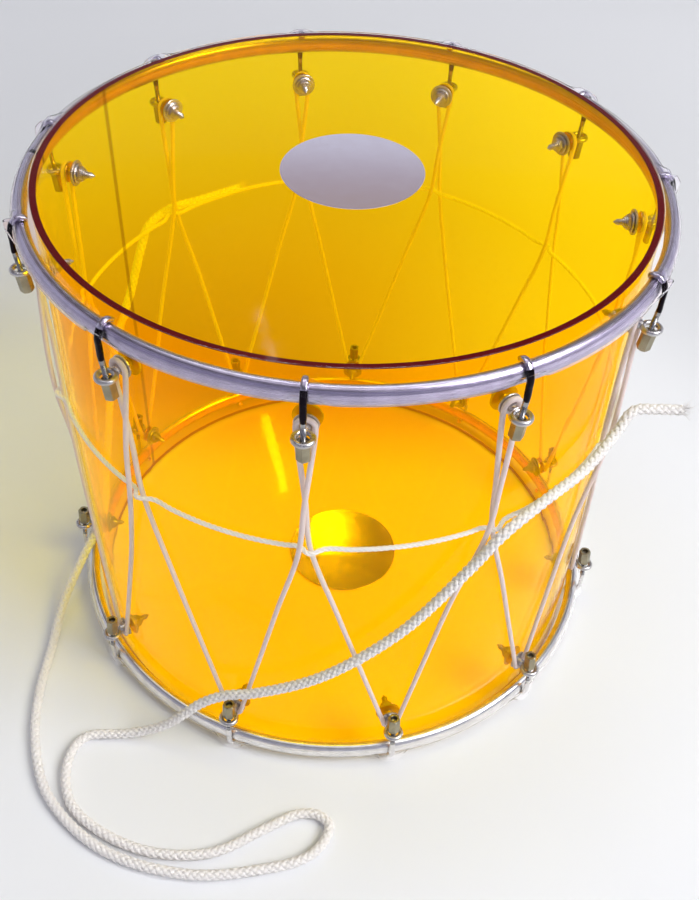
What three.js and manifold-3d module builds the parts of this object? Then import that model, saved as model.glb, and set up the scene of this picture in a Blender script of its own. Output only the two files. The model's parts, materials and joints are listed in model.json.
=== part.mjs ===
// A two-headed rope-braced drum: a see-through amber tube, a clear film head over each end,
// and eleven tension stations at each end. At a station an eye bolt goes through the tube, a hook
// hangs on the hoop and passes through the eye, and a hexagonal tube nut draws the hook tight.
// A white cord zigzags between the eye bolts, a second one ties the zigzag at the waist, and a
// thick rope is the carrying strap. Millimetres, +Z up, the front towards -Y, standing on z = 0.
import * as THREE from 'three';
import { mergeVertices } from 'three/addons/utils/BufferGeometryUtils.js';
import Module from 'manifold-3d';

const wasm = await Module();
wasm.setup();

// General gap between pieces that touch on the real drum
const CLEARANCE = 0.3;

// Diagonals of a face that differ by less than this count as equally long
const DIAGONAL_SLACK = 1e-3;

// Points closer than this are one point
const WELD_DISTANCE = 1e-4;

// Stretches of a cord this many diameters apart along it are tested for a gap to each other
const SELF_GAP_REACH = 4;

// Tube
const SHELL_DIAMETER = 330;
const SHELL_WALL = 3.5;
const SHELL_HEIGHT = 310;
const SHELL_SIDES = 66;
const SEAM_AZIMUTH = 151.5;
const SEAM_WIDTH = 1.6;
const SEAM_DEPTH = 0.5;

// Heads
const FILM_THICKNESS = 0.5;
const FILM_GAP = 0.4;
const FILM_FOLD_SPREAD = 4;
const FILM_SPAN_COLUMNS = 5;
const DOT_DIAMETER = 76.5;
const DOT_THICKNESS = 0.2;
const DOT_GLUE = 0.1;
const DOT_SIDES = 44;
const TOP_DOT_PLACE = { x: 2, y: -5 };
const BOTTOM_DOT_PLACE = { x: 6, y: -1.5 };

// Hoops, with an oval section
const HOOP_WIDTH = 7.6;
const HOOP_HEIGHT = 10.8;
const HOOP_STANDOFF = 2.2;
const HOOP_DROP = 4.2;
const HOOP_SIDES = 55;
const HOOP_SECTION = [110, 75, 35, -5, -50, -100, -145, 165];
const FILM_WRAP_POINTS = 5;
const FILM_SHOULDER_ANGLE = 45;

// Tension stations
const STATIONS = 11;
const FIRST_AZIMUTH = -95;
const BOTTOM_SHIFT = 18;

// Hooks: a flat bent strap that curls over the hoop and runs out into a round rod
const HOOK_WIDTH = 3.4;
const HOOK_THICKNESS = 2.6;
const HOOK_STANDOFF = 0.8;
const HOOK_TIP_ANGLE = 128;
const HOOK_TIP_SINK = 0.6;
const HOOK_BEND = [105, 75, 35];
const HOOK_SIDES = 6;
const KINK_DROP = 20;
const KINK_LENGTH = 3;
const ROD_DIAMETER = 3;
const ROD_RECESS = 2;

// Eye bolts
const EYE_DROP = 32.5;
const EYE_OUTER = 11.8;
const EYE_WIRE = 2.9;
const EYE_SIDES = 10;
const EYE_WIRE_SIDES = 5;
const BOLT_SIDES = 7;
const SHANK_DIAMETER = 5;
const OUTER_WASHER_DIAMETER = 12;
const OUTER_WASHER_THICKNESS = 1;
const INNER_WASHER_DIAMETER = 14.5;
const INNER_WASHER_THICKNESS = 1.2;
const INNER_NUT_DIAMETER = 9;
const INNER_NUT_LENGTH = 3.4;
const INNER_CONE_LENGTH = 2.4;
const INNER_TIP_LENGTH = 5;
const INNER_TIP_DIAMETER = 3.6;
const TIP_POINT_LENGTH = 2;

// Tube nuts
const NUT_FLATS = 6.6;
const NUT_LENGTH = 11;
const NUT_BORE_SIDES = 8;

// Zigzag cord and waist cord
const CORD_DIAMETER = 2.8;
const CORD_SIDES = 6;
const LOOP_STEPS = 3;
const WALL_STEPS = 3;
const WAIST_LEVEL = 195;
const WAIST_BACK_RISE = 10.5;
const CROSSING_SHARE = 0.4;
const PAIR_SPACING = 5.2;
const WEAVE_LIFT = 4;
const WEAVE_RUN = 8;
const WAIST_SPAN_STEPS = 6;

// Carrying strap, as azimuth in degrees, distance of its middle from the tube, and height.
// From the loose tail at the right waist tie, down over the front, round the floor at the left,
// behind a bottom hook and up to the waist tie at the back left.
const STRAP_DIAMETER = 6.5;
const STRAP_SIDES = 8;
const STRAP_STEPS = 82;
const STRAP_ROUTE = [
  [-23.4, 35.6, 218.5], [-25.4, 24, 219.5], [-28.2, 13.4, 220.5], [-32.4, 10.2, 213],
  [-42, 9, 207.5], [-53, 9.2, 205], [-61.2, 11, 196.4], [-66, 9.4, 176], [-77.5, 8.6, 132],
  [-91.5, 8.2, 92], [-104.5, 8.6, 65], [-110, 9.8, 56], [-114.5, 13.6, 45], [-121.5, 26, 18],
  [-127.5, 39, 5], [-132.2, 57, 3.8], [-131, 74, 3.8], [-125.5, 92, 3.8], [-115, 93, 3.8],
  [-105.5, 80, 3.8], [-98.5, 56.8, 3.8], [-94.2, 46, 3.8], [-91, 45.4, 3.8], [-89.2, 51, 3.8],
  [-89.6, 60, 3.8], [-92, 71, 3.8], [-97.5, 81, 3.8], [-107, 95, 3.8], [-118.5, 102.6, 3.8],
  [-129, 96.6, 3.8], [-137, 81, 3.8], [-144, 63.5, 3.8], [-152, 43.5, 4.6], [-160.5, 28, 10.4],
  [-168.5, 12, 21.4], [-175.2, 5, 22.6], [-182, 5.2, 26], [-189.5, 7.2, 44], [-203, 8, 124],
  [-211.5, 8, 156], [-216.4, 8.4, 183], [-219.5, 9.4, 195.5], [-226, 11.2, 199.5],
  [-234, 8.2, 200], [-243.5, 7.6, 201.5],
];

// Sizes that follow from the ones above
const rad = THREE.MathUtils.degToRad;
const shellRadius = SHELL_DIAMETER / 2;
const boreRadius = shellRadius - SHELL_WALL;
const bottomEdge = FILM_THICKNESS + CLEARANCE;
const topEdge = bottomEdge + SHELL_HEIGHT;
const hoopRadius = shellRadius + HOOP_STANDOFF + HOOP_WIDTH / 2;
const hoopLevel = -HOOP_DROP - HOOP_HEIGHT / 2;
const hookRadius = hoopRadius + (HOOP_WIDTH + HOOK_THICKNESS) / 2 + HOOK_STANDOFF;
const cordRadius = CORD_DIAMETER / 2;
const washerFace = shellRadius + CLEARANCE + OUTER_WASHER_THICKNESS;
const loopRadius = washerFace + CLEARANCE + cordRadius;
const eyeRadius = loopRadius + cordRadius + CLEARANCE + EYE_OUTER / 2;
const lean = Math.atan2(hookRadius - eyeRadius, EYE_DROP - KINK_DROP);
const nutCorner = NUT_FLATS / 2 / Math.cos(Math.PI / 6);
const nutStart = EYE_WIRE / 2 + CLEARANCE + nutCorner * Math.abs(Math.sin(lean));
const rodEnd = nutStart + NUT_LENGTH - ROD_RECESS;
const pitch = 360 / STATIONS;
const topAzimuths = Array.from({ length: STATIONS }, (_, i) => FIRST_AZIMUTH + i * pitch);
const bottomAzimuths = topAzimuths.map((azimuth) => azimuth + BOTTOM_SHIFT);

// Point in a radial plane: distance from the axis, level, azimuth in degrees and sideways shift
function place(radius, level, azimuth, aside = 0) {
  const turn = rad(azimuth);
  const x = radius * Math.cos(turn) - aside * Math.sin(turn);
  const y = radius * Math.sin(turn) + aside * Math.cos(turn);
  return new THREE.Vector3(x, y, level);
}

// Closed solid through a row of outlines with equally many points; points that coincide are
// shared and triangles without area are left out. A ring of outlines joins its last to its first.
function solidOf(outlines, isRing) {
  const positions = [];
  const numbers = new Map();
  const numberOf = (point) => {
    const key = point.toArray().map((value) => Math.round(value / WELD_DISTANCE)).join(' ');
    if (!numbers.has(key)) {
      numbers.set(key, positions.length / 3);
      positions.push(point.x, point.y, point.z);
    }
    return numbers.get(key);
  };
  const rows = outlines.map((outline) => outline.map(numberOf));
  const index = [];
  const addFace = (a, b, c) => {
    if (a !== b && b !== c && c !== a) index.push(a, b, c);
  };
  const pointAt = (number) => new THREE.Vector3().fromArray(positions, 3 * number);
  const span = (a, b) => pointAt(a).distanceTo(pointAt(b));
  // A four-sided face is split along its shorter diagonal, so two faces of a wall are split alike
  const addQuad = (a, b, c, d) => {
    if (span(b, d) < span(a, c) - DIAGONAL_SLACK) {
      addFace(a, b, d);
      addFace(b, c, d);
    } else {
      addFace(a, b, c);
      addFace(a, c, d);
    }
  };
  const count = rows[0].length;
  const bands = isRing ? rows.length : rows.length - 1;
  for (let i = 0; i < bands; i += 1) {
    const row = rows[i];
    const next = rows[(i + 1) % rows.length];
    for (let j = 0; j < count; j += 1) {
      const k = (j + 1) % count;
      addQuad(row[j], row[k], next[k], next[j]);
    }
  }
  if (!isRing) {
    const first = rows[0];
    const last = rows[rows.length - 1];
    for (let j = 1; j < count - 1; j += 1) {
      addFace(first[0], first[j + 1], first[j]);
      addFace(last[0], last[j], last[j + 1]);
    }
  }
  const geometry = new THREE.BufferGeometry();
  geometry.setAttribute('position', new THREE.Float32BufferAttribute(positions, 3));
  geometry.setIndex(index);
  return geometry;
}

// Round tube along a row of points; a ring of points gives a closed loop without a twist
function tubeAlong(points, diameter, sides, isRing) {
  const count = points.length;
  const tangents = points.map((_, i) => {
    const before = isRing ? points[(i + count - 1) % count] : points[Math.max(i - 1, 0)];
    const after = isRing ? points[(i + 1) % count] : points[Math.min(i + 1, count - 1)];
    return after.clone().sub(before).normalize();
  });
  const outlines = points.map((point, i) => {
    const tangent = tangents[i];
    const outward = new THREE.Vector3(point.x, point.y, 0).normalize();
    const side = new THREE.Vector3().crossVectors(tangent, outward).normalize();
    const normal = new THREE.Vector3().crossVectors(side, tangent);
    return Array.from({ length: sides }, (_, j) => {
      const angle = (j / sides) * 2 * Math.PI;
      const across = normal.clone().multiplyScalar(Math.cos(angle) * diameter / 2);
      return point.clone().add(across).addScaledVector(side, Math.sin(angle) * diameter / 2);
    });
  });
  return solidOf(outlines, isRing);
}

// Least gap of a tube to itself, measured between points that are apart along the tube
function gapToItself(points, diameter, isRing) {
  const closed = isRing ? points.concat([points[0]]) : points;
  const samples = [];
  let travelled = 0;
  for (let i = 0; i < closed.length - 1; i += 1) {
    const span = closed[i].distanceTo(closed[i + 1]);
    const pieces = Math.max(1, Math.round(span));
    for (let k = 0; k < pieces; k += 1) {
      const point = closed[i].clone().lerp(closed[i + 1], k / pieces);
      samples.push({ point, at: travelled + (span * k) / pieces });
    }
    travelled += span;
  }
  let least = Infinity;
  for (let i = 0; i < samples.length; i += 1) {
    for (let j = i + 1; j < samples.length; j += 1) {
      const along = samples[j].at - samples[i].at;
      const apart = isRing ? Math.min(along, travelled - along) : along;
      if (apart > SELF_GAP_REACH * diameter) {
        least = Math.min(least, samples[i].point.distanceTo(samples[j].point));
      }
    }
  }
  return least - diameter;
}

// Joining and cutting of closed meshes
function manifoldOf(geometry) {
  const bare = geometry.clone();
  bare.deleteAttribute('normal');
  bare.deleteAttribute('uv');
  const merged = mergeVertices(bare, WELD_DISTANCE);
  const vertProperties = new Float32Array(merged.attributes.position.array);
  const triVerts = new Uint32Array(merged.index.array);
  return new wasm.Manifold(new wasm.Mesh({ numProp: 3, vertProperties, triVerts }));
}

function geometryOf(manifold) {
  const mesh = manifold.getMesh();
  const geometry = new THREE.BufferGeometry();
  geometry.setAttribute('position', new THREE.Float32BufferAttribute(mesh.vertProperties, 3));
  geometry.setIndex(Array.from(mesh.triVerts));
  return geometry;
}

// Round piece along +X from its profile of [distance along X, radius]
function turned(profile, sides) {
  const points = profile.map(([along, radius]) => new THREE.Vector2(radius, along));
  const geometry = new THREE.LatheGeometry(points, sides);
  geometry.rotateZ(-Math.PI / 2);
  return geometry;
}

const materials = {
  amber: new THREE.MeshStandardMaterial({ color: 0xffb400, roughness: 0.06, metalness: 0 }),
  film: new THREE.MeshStandardMaterial({ color: 0xe8e8e4, roughness: 0.08, metalness: 0 }),
  foil: new THREE.MeshStandardMaterial({ color: 0xb9b9c6, roughness: 0.45, metalness: 0.6 }),
  hoop: new THREE.MeshStandardMaterial({ color: 0xa9a7b8, roughness: 0.28, metalness: 0.9 }),
  chrome: new THREE.MeshStandardMaterial({ color: 0xc9cace, roughness: 0.15, metalness: 1 }),
  zinc: new THREE.MeshStandardMaterial({ color: 0xb7b28a, roughness: 0.35, metalness: 0.9 }),
  cord: new THREE.MeshStandardMaterial({ color: 0xe9e2e0, roughness: 0.85, metalness: 0 }),
};

const drum = new THREE.Group();

function addMesh(parent, name, geometry, material) {
  const mesh = new THREE.Mesh(geometry, material);
  mesh.name = name;
  parent.add(mesh);
  return mesh;
}

// Tube with a hole for every eye bolt and the shallow line of its bonded seam
function shellGeometry() {
  const profile = [
    new THREE.Vector2(shellRadius, bottomEdge),
    new THREE.Vector2(shellRadius, topEdge),
    new THREE.Vector2(boreRadius, topEdge),
    new THREE.Vector2(boreRadius, bottomEdge),
    new THREE.Vector2(shellRadius, bottomEdge),
  ];
  const tube = new THREE.LatheGeometry(profile, SHELL_SIDES);
  tube.rotateX(Math.PI / 2);
  let solid = manifoldOf(tube);
  const holeRadius = (SHANK_DIAMETER / 2 + CLEARANCE) / Math.cos(Math.PI / BOLT_SIDES);
  const drill = (azimuth, level) => {
    const hole = new THREE.CylinderGeometry(holeRadius, holeRadius, 3 * SHELL_WALL, BOLT_SIDES);
    hole.rotateZ(Math.PI / 2);
    hole.translate(shellRadius - SHELL_WALL / 2, 0, level);
    hole.rotateZ(rad(azimuth));
    solid = solid.subtract(manifoldOf(hole));
  };
  topAzimuths.forEach((azimuth) => drill(azimuth, topEdge - EYE_DROP));
  bottomAzimuths.forEach((azimuth) => drill(azimuth, bottomEdge + EYE_DROP));
  const seam = new THREE.BoxGeometry(2 * SEAM_DEPTH, SEAM_WIDTH, 2 * SHELL_HEIGHT);
  seam.translate(shellRadius, 0, SHELL_HEIGHT / 2);
  seam.rotateZ(rad(SEAM_AZIMUTH));
  return geometryOf(solid.subtract(manifoldOf(seam)));
}

// The pieces of one end are drawn with the tube's edge at z = 0 and the head above it.
// Point of the hoop's oval, grown by an amount
function ovalPoint(angle, grown) {
  const turn = rad(angle);
  const radius = hoopRadius + (HOOP_WIDTH / 2 + grown) * Math.cos(turn);
  const level = hoopLevel + (HOOP_HEIGHT / 2 + grown) * Math.sin(turn);
  return [radius, level];
}

// Outline of the film from the outside of the hoop over the tube's edge to its middle along
// its lower face, and back out along its upper one. A hook lifts it.
function filmOutline(azimuth, isLifted) {
  const wrap = HOOP_SECTION.slice(0, FILM_WRAP_POINTS);
  const lift = isLifted ? CLEARANCE + HOOK_THICKNESS : 0;
  const hookFace = hookRadius + HOOK_THICKNESS / 2;
  const face = (grown) => {
    const rim = [[0, CLEARANCE + grown], [shellRadius + CLEARANCE, CLEARANCE + grown]];
    const round = wrap.map((angle) => {
      const [radius, level] = ovalPoint(angle, FILM_GAP + lift + grown);
      const isOutside = isLifted && angle < FILM_SHOULDER_ANGLE;
      const cleared = isOutside ? Math.max(radius, hookFace + FILM_GAP + grown) : radius;
      return [cleared, isOutside ? ovalPoint(angle, FILM_GAP)[1] : level];
    });
    return rim.concat(round);
  };
  const outline = face(0).reverse().concat(face(FILM_THICKNESS));
  return outline.map(([radius, level]) => place(radius, level, azimuth));
}

function filmGeometry(azimuths) {
  const hookRim = hookRadius + HOOK_THICKNESS / 2;
  const foldHalf = THREE.MathUtils.radToDeg((HOOK_WIDTH / 2 + 2 * CLEARANCE) / hookRim);
  const spread = THREE.MathUtils.radToDeg(FILM_FOLD_SPREAD / hookRim);
  const outlines = [];
  const sorted = azimuths.slice().sort((a, b) => a - b);
  sorted.forEach((azimuth) => {
    const spanStart = azimuth + foldHalf + spread;
    const span = pitch - 2 * (foldHalf + spread);
    outlines.push(filmOutline(azimuth - foldHalf, true), filmOutline(azimuth + foldHalf, true));
    for (let k = 0; k <= FILM_SPAN_COLUMNS; k += 1) {
      outlines.push(filmOutline(spanStart + (span * k) / FILM_SPAN_COLUMNS, false));
    }
  });
  return solidOf(outlines, true);
}

// Hook in the plane y = 0: over the hoop, straight down outside it, in towards the eye
function hookGeometry() {
  const onHoop = (angle, grown) => {
    const [radius, level] = ovalPoint(angle, grown);
    return { radius, level, normal: rad(angle), wide: HOOK_WIDTH, thick: HOOK_THICKNESS };
  };
  const middles = [onHoop(HOOK_TIP_ANGLE, -HOOK_TIP_SINK)];
  HOOK_BEND.forEach((angle) => middles.push(onHoop(angle, CLEARANCE + HOOK_THICKNESS / 2)));
  const strap = { radius: hookRadius, normal: 0, wide: HOOK_WIDTH, thick: HOOK_THICKNESS };
  middles.push({ ...strap, level: hoopLevel });
  middles.push({ ...strap, level: -KINK_DROP });
  const along = (length, wide, thick) => ({
    radius: hookRadius - length * Math.sin(lean),
    level: -KINK_DROP - length * Math.cos(lean),
    normal: -lean,
    wide,
    thick,
  });
  const toEye = (EYE_DROP - KINK_DROP) / Math.cos(lean);
  middles.push(along(KINK_LENGTH, ROD_DIAMETER, ROD_DIAMETER));
  middles.push(along(toEye + rodEnd, ROD_DIAMETER, ROD_DIAMETER));
  const outlines = middles.map(({ radius, level, normal, wide, thick }) => {
    return Array.from({ length: HOOK_SIDES }, (_, j) => {
      const angle = (-(j + 0.5) / HOOK_SIDES) * 2 * Math.PI;
      const grown = 1 / Math.cos(Math.PI / HOOK_SIDES);
      const out = (thick / 2) * grown * Math.cos(angle);
      const aside = (wide / 2) * grown * Math.sin(angle);
      return place(radius + out * Math.cos(normal), level + out * Math.sin(normal), 0, aside);
    });
  });
  return solidOf(outlines, false);
}

// Oval hoop with its hooks seated on it
function hoopGeometry(azimuths) {
  const outlines = Array.from({ length: HOOP_SIDES }, (_, i) => {
    const azimuth = (360 * i) / HOOP_SIDES;
    const section = HOOP_SECTION.map((angle) => ovalPoint(angle, 0));
    return section.map(([radius, level]) => place(radius, level, azimuth));
  });
  let solid = manifoldOf(solidOf(outlines, true));
  const hook = hookGeometry();
  azimuths.forEach((azimuth) => {
    solid = solid.add(manifoldOf(hook.clone().rotateZ(rad(azimuth))));
  });
  return geometryOf(solid);
}

// Eye bolt along +X at y = z = 0: eye, shank, a washer on each side of the wall, nut and tip
function eyeBoltGeometry() {
  const shank = SHANK_DIAMETER / 2;
  const outerFace = shellRadius + CLEARANCE;
  const flatBore = boreRadius * Math.cos(Math.PI / SHELL_SIDES);
  const innerFace = Math.sqrt(flatBore ** 2 - (INNER_WASHER_DIAMETER / 2) ** 2) - CLEARANCE;
  const nutFace = innerFace - INNER_WASHER_THICKNESS;
  const coneFace = nutFace - INNER_NUT_LENGTH;
  const tipFace = coneFace - INNER_CONE_LENGTH;
  const tipEnd = tipFace - INNER_TIP_LENGTH;
  const eyeRoot = eyeRadius - EYE_OUTER / 2 + EYE_WIRE / 2;
  const profile = [
    [eyeRoot, 0],
    [eyeRoot, shank],
    [washerFace, shank],
    [washerFace, OUTER_WASHER_DIAMETER / 2],
    [outerFace, OUTER_WASHER_DIAMETER / 2],
    [outerFace, shank],
    [innerFace, shank],
    [innerFace, INNER_WASHER_DIAMETER / 2],
    [nutFace, INNER_WASHER_DIAMETER / 2],
    [nutFace, INNER_NUT_DIAMETER / 2],
    [coneFace, INNER_NUT_DIAMETER / 2],
    [tipFace, INNER_TIP_DIAMETER / 2],
    [tipEnd + TIP_POINT_LENGTH, INNER_TIP_DIAMETER / 2],
    [tipEnd, 0],
  ];
  const ringRadius = (EYE_OUTER - EYE_WIRE) / 2;
  const ring = new THREE.TorusGeometry(ringRadius, EYE_WIRE / 2, EYE_WIRE_SIDES, EYE_SIDES);
  ring.translate(eyeRadius, 0, 0);
  const bolt = turned(profile.reverse(), BOLT_SIDES);
  return geometryOf(manifoldOf(bolt).add(manifoldOf(ring)));
}

// Hexagonal tube nut along +Z with its bore, standing on z = 0
function nutGeometry() {
  const corner = (radius, j, sides) => {
    const angle = (j / sides) * 2 * Math.PI;
    return new THREE.Vector2(radius * Math.cos(angle), radius * Math.sin(angle));
  };
  const outline = Array.from({ length: 6 }, (_, j) => corner(nutCorner, j, 6));
  const bore = (ROD_DIAMETER / 2) / Math.cos(Math.PI / HOOK_SIDES) + CLEARANCE;
  const boreCorner = bore / Math.cos(Math.PI / NUT_BORE_SIDES);
  const hole = Array.from({ length: NUT_BORE_SIDES }, (_, j) => {
    return corner(boreCorner, -j, NUT_BORE_SIDES);
  });
  const shape = new THREE.Shape(outline);
  shape.holes.push(new THREE.Path(hole));
  return new THREE.ExtrudeGeometry(shape, { depth: NUT_LENGTH, bevelEnabled: false });
}

// One end of the drum, drawn the right way up: head, dot, hoop and its stations
function addEnd(end, azimuths, dotBase, dotPlace) {
  const group = new THREE.Group();
  addMesh(group, `head_film_${end}`, filmGeometry(azimuths), materials.film);
  addMesh(group, `hoop_with_hooks_${end}`, hoopGeometry(azimuths), materials.hoop);
  const dot = new THREE.CylinderGeometry(
    DOT_DIAMETER / 2, DOT_DIAMETER / 2, DOT_THICKNESS, DOT_SIDES,
  );
  dot.rotateX(Math.PI / 2);
  dot.translate(dotPlace.x, dotPlace.y, dotBase + DOT_THICKNESS / 2);
  addMesh(group, `centre_dot_${end}`, dot, materials.foil);
  const bolt = eyeBoltGeometry();
  const nut = nutGeometry();
  azimuths.forEach((azimuth, i) => {
    const number = String(i + 1).padStart(2, '0');
    const station = new THREE.Group();
    station.rotation.z = rad(azimuth);
    station.position.z = -EYE_DROP;
    addMesh(station, `eye_bolt_${end}_${number}`, bolt, materials.chrome);
    const tilted = new THREE.Group();
    tilted.position.x = eyeRadius;
    tilted.rotation.y = Math.PI + lean;
    const tubeNut = addMesh(tilted, `tube_nut_${end}_${number}`, nut, materials.zinc);
    tubeNut.position.z = nutStart;
    station.add(tilted);
    group.add(station);
  });
  drum.add(group);
  return group;
}

// Height of the waist tie, which rides higher towards the back
function waistLevel(azimuth) {
  return WAIST_LEVEL + WAIST_BACK_RISE * Math.max(Math.sin(rad(azimuth)), 0) ** 2;
}

// Zigzag cord: up from the bottom eye bolt on the left, behind the eye of the top one, down
// again with a crossing, and under the next bottom eye bolt
function lacingPoints() {
  const topLevel = topEdge - EYE_DROP;
  const bottomLevel = bottomEdge + EYE_DROP;
  const wall = shellRadius + CLEARANCE + cordRadius;
  const loop = SHANK_DIAMETER / 2 / Math.cos(Math.PI / BOLT_SIDES) + CLEARANCE + cordRadius;
  const lifted = wall + WEAVE_LIFT;
  const half = PAIR_SPACING / 2;
  const points = [];
  topAzimuths.forEach((azimuth) => {
    const waist = waistLevel(azimuth);
    const crossLevel = THREE.MathUtils.lerp(waist, topLevel, CROSSING_SHARE);
    const before = azimuth + BOTTOM_SHIFT - pitch;
    const after = azimuth + BOTTOM_SHIFT;
    const arc = (centre, level, from) => {
      for (let k = 0; k <= LOOP_STEPS; k += 1) {
        const turn = rad(from + (180 * k) / LOOP_STEPS);
        const aside = loop * Math.cos(turn);
        points.push(place(loopRadius, level + loop * Math.sin(turn), centre, aside));
      }
    };
    const run = (from, to) => {
      for (let k = 1; k < WALL_STEPS; k += 1) {
        const share = k / WALL_STEPS;
        const level = THREE.MathUtils.lerp(from.level, to.level, share);
        const aside = THREE.MathUtils.lerp(from.aside, to.aside, share);
        const turn = THREE.MathUtils.lerp(from.azimuth, to.azimuth, share);
        points.push(place(wall, level, turn, aside));
      }
    };
    const leave = { level: bottomLevel, azimuth: before, aside: loop };
    const rise = { level: waist, azimuth, aside: -half };
    const fall = { level: waist, azimuth, aside: half };
    const arrive = { level: bottomLevel, azimuth: after, aside: -loop };
    run(leave, rise);
    points.push(place(lifted, waist, azimuth, -half));
    points.push(place(lifted, crossLevel, azimuth, 0));
    arc(azimuth, topLevel, 0);
    points.push(place(wall, crossLevel, azimuth, 0));
    points.push(place(wall, waist, azimuth, half));
    run(fall, arrive);
    arc(after, bottomLevel, 180);
  });
  return points;
}

// Waist cord: a ring that dips under the first strand of every pair and rises over the second
function waistPoints() {
  const wall = shellRadius + CLEARANCE + cordRadius;
  const half = PAIR_SPACING / 2;
  const over = wall + WEAVE_LIFT;
  const run = half + WEAVE_RUN;
  const points = [];
  topAzimuths.forEach((azimuth) => {
    points.push(place(wall, waistLevel(azimuth), azimuth, -half));
    points.push(place(over, waistLevel(azimuth), azimuth, half));
    const edge = THREE.MathUtils.radToDeg(run / wall);
    for (let k = 0; k <= WAIST_SPAN_STEPS; k += 1) {
      const turn = edge + ((pitch - 2 * edge) * k) / WAIST_SPAN_STEPS;
      points.push(place(wall, waistLevel(azimuth + turn), azimuth + turn));
    }
  });
  return points;
}

function strapPoints() {
  const route = STRAP_ROUTE.map(([azimuth, standoff, level]) => {
    return place(shellRadius + standoff, level, azimuth);
  });
  return new THREE.CatmullRomCurve3(route, false, 'centripetal').getPoints(STRAP_STEPS);
}

addMesh(drum, 'shell', shellGeometry(), materials.amber);
const topDotBase = CLEARANCE + FILM_THICKNESS + DOT_GLUE;
const bottomDotBase = CLEARANCE - DOT_GLUE - DOT_THICKNESS;
addEnd('top', topAzimuths, topDotBase, TOP_DOT_PLACE).position.z = topEdge;
const turnedAzimuths = bottomAzimuths.map((azimuth) => -azimuth);
const turnedDotPlace = { x: BOTTOM_DOT_PLACE.x, y: -BOTTOM_DOT_PLACE.y };
const bottomGroup = addEnd('bottom', turnedAzimuths, bottomDotBase, turnedDotPlace);
bottomGroup.rotation.x = Math.PI;
bottomGroup.position.z = bottomEdge;

const lacing = lacingPoints();
addMesh(drum, 'lacing_cord', tubeAlong(lacing, CORD_DIAMETER, CORD_SIDES, true), materials.cord);
const waist = waistPoints();
addMesh(drum, 'waist_cord', tubeAlong(waist, CORD_DIAMETER, CORD_SIDES, true), materials.cord);
const strap = strapPoints();
const strapTube = tubeAlong(strap, STRAP_DIAMETER, STRAP_SIDES, false);
addMesh(drum, 'carrying_strap', strapTube, materials.cord);

const lacingGap = gapToItself(lacing, CORD_DIAMETER, true);
const strapGap = gapToItself(strap, STRAP_DIAMETER, false);
console.log(`least gap to itself, mm: lacing ${lacingGap.toFixed(2)}, strap ${strapGap.toFixed(2)}`);

export default drum;
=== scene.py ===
"""Looks of a rope-braced drum with an amber tube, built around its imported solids.

Run as a script, it registers its operators and calls them in order. Lengths are metres in the
frame of the solids: +Z up, the front towards -Y, the floor at z = 0.
"""
import json
import math

import bmesh
import bpy
import numpy as np
from bpy.props import FloatProperty, FloatVectorProperty, PointerProperty
from mathutils import Matrix, Vector


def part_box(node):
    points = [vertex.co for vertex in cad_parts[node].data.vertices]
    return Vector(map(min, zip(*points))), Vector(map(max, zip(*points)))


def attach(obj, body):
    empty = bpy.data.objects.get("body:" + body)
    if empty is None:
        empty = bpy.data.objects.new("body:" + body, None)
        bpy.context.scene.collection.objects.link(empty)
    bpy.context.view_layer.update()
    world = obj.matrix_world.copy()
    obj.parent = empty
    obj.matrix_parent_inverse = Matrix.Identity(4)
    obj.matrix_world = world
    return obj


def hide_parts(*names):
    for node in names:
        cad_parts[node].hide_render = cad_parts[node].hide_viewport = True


bl_info = {
    "name": "Amber Rope Drum",
    "version": (1, 0, 0),
    "blender": (4, 5, 0),
    "location": "View3D > Sidebar > Drum",
    "description": "Builds the looks of a two-headed rope-braced drum around its packed solids",
    "category": "Object",
}

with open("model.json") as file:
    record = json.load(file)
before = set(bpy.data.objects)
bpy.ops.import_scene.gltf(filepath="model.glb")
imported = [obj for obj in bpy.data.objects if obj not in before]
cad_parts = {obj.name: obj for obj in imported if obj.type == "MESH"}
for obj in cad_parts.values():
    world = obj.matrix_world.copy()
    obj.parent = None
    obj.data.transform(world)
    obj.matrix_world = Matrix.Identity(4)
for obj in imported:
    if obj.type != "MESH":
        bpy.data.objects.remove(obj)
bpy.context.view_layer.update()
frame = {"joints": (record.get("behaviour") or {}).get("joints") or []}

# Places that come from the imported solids
TUBE_LOW, TUBE_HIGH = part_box("shell")
TUBE_RADIUS = max(TUBE_HIGH.x, TUBE_HIGH.y, -TUBE_LOW.x, -TUBE_LOW.y)
# Room between pieces that lie against each other
GAP = 0.0003


class End:
    """One end of the drum: the tube's edge, the way out of the tube, and its stations."""

    def __init__(self, name, edge, out):
        self.name = name
        self.edge = edge
        self.out = out
        rows = [j for j in frame["joints"] if j["child"].startswith(f"tube_nut_{name}_")]
        rows.sort(key=lambda j: j["child"])
        self.nuts = [j["child"] for j in rows]
        self.bolts = [nut.replace("tube_nut", "eye_bolt") for nut in self.nuts]
        self.eyes = np.array([j["pos_m"] for j in rows])
        self.rods = -np.array([j["axis"] for j in rows])
        self.azimuths = np.arctan2(self.eyes[:, 1], self.eyes[:, 0])
        self.eye_radius = float(np.hypot(*self.eyes[0, :2]))
        self.eye_drop = abs(edge - float(self.eyes[0, 2]))
        self.lean = math.acos(abs(float(self.rods[0, 2])))

    def height(self, level):
        """Height of a level that is counted from the tube's edge, outwards."""
        return self.edge + self.out * level


ENDS = {"top": End("top", TUBE_HIGH.z, 1.0), "bottom": End("bottom", TUBE_LOW.z, -1.0)}
STATIONS = len(ENDS["top"].nuts)
PITCH = 2 * math.pi / STATIONS

# Camera of the photograph
CAMERA_PLACE = (0.0, -0.5121, TUBE_HIGH.z + 0.2947)
CAMERA_PITCH = 0.779
CAMERA_YAW = 0.015
CAMERA_ROLL = 0.049
CAMERA_LENS_MM = 43.15

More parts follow.
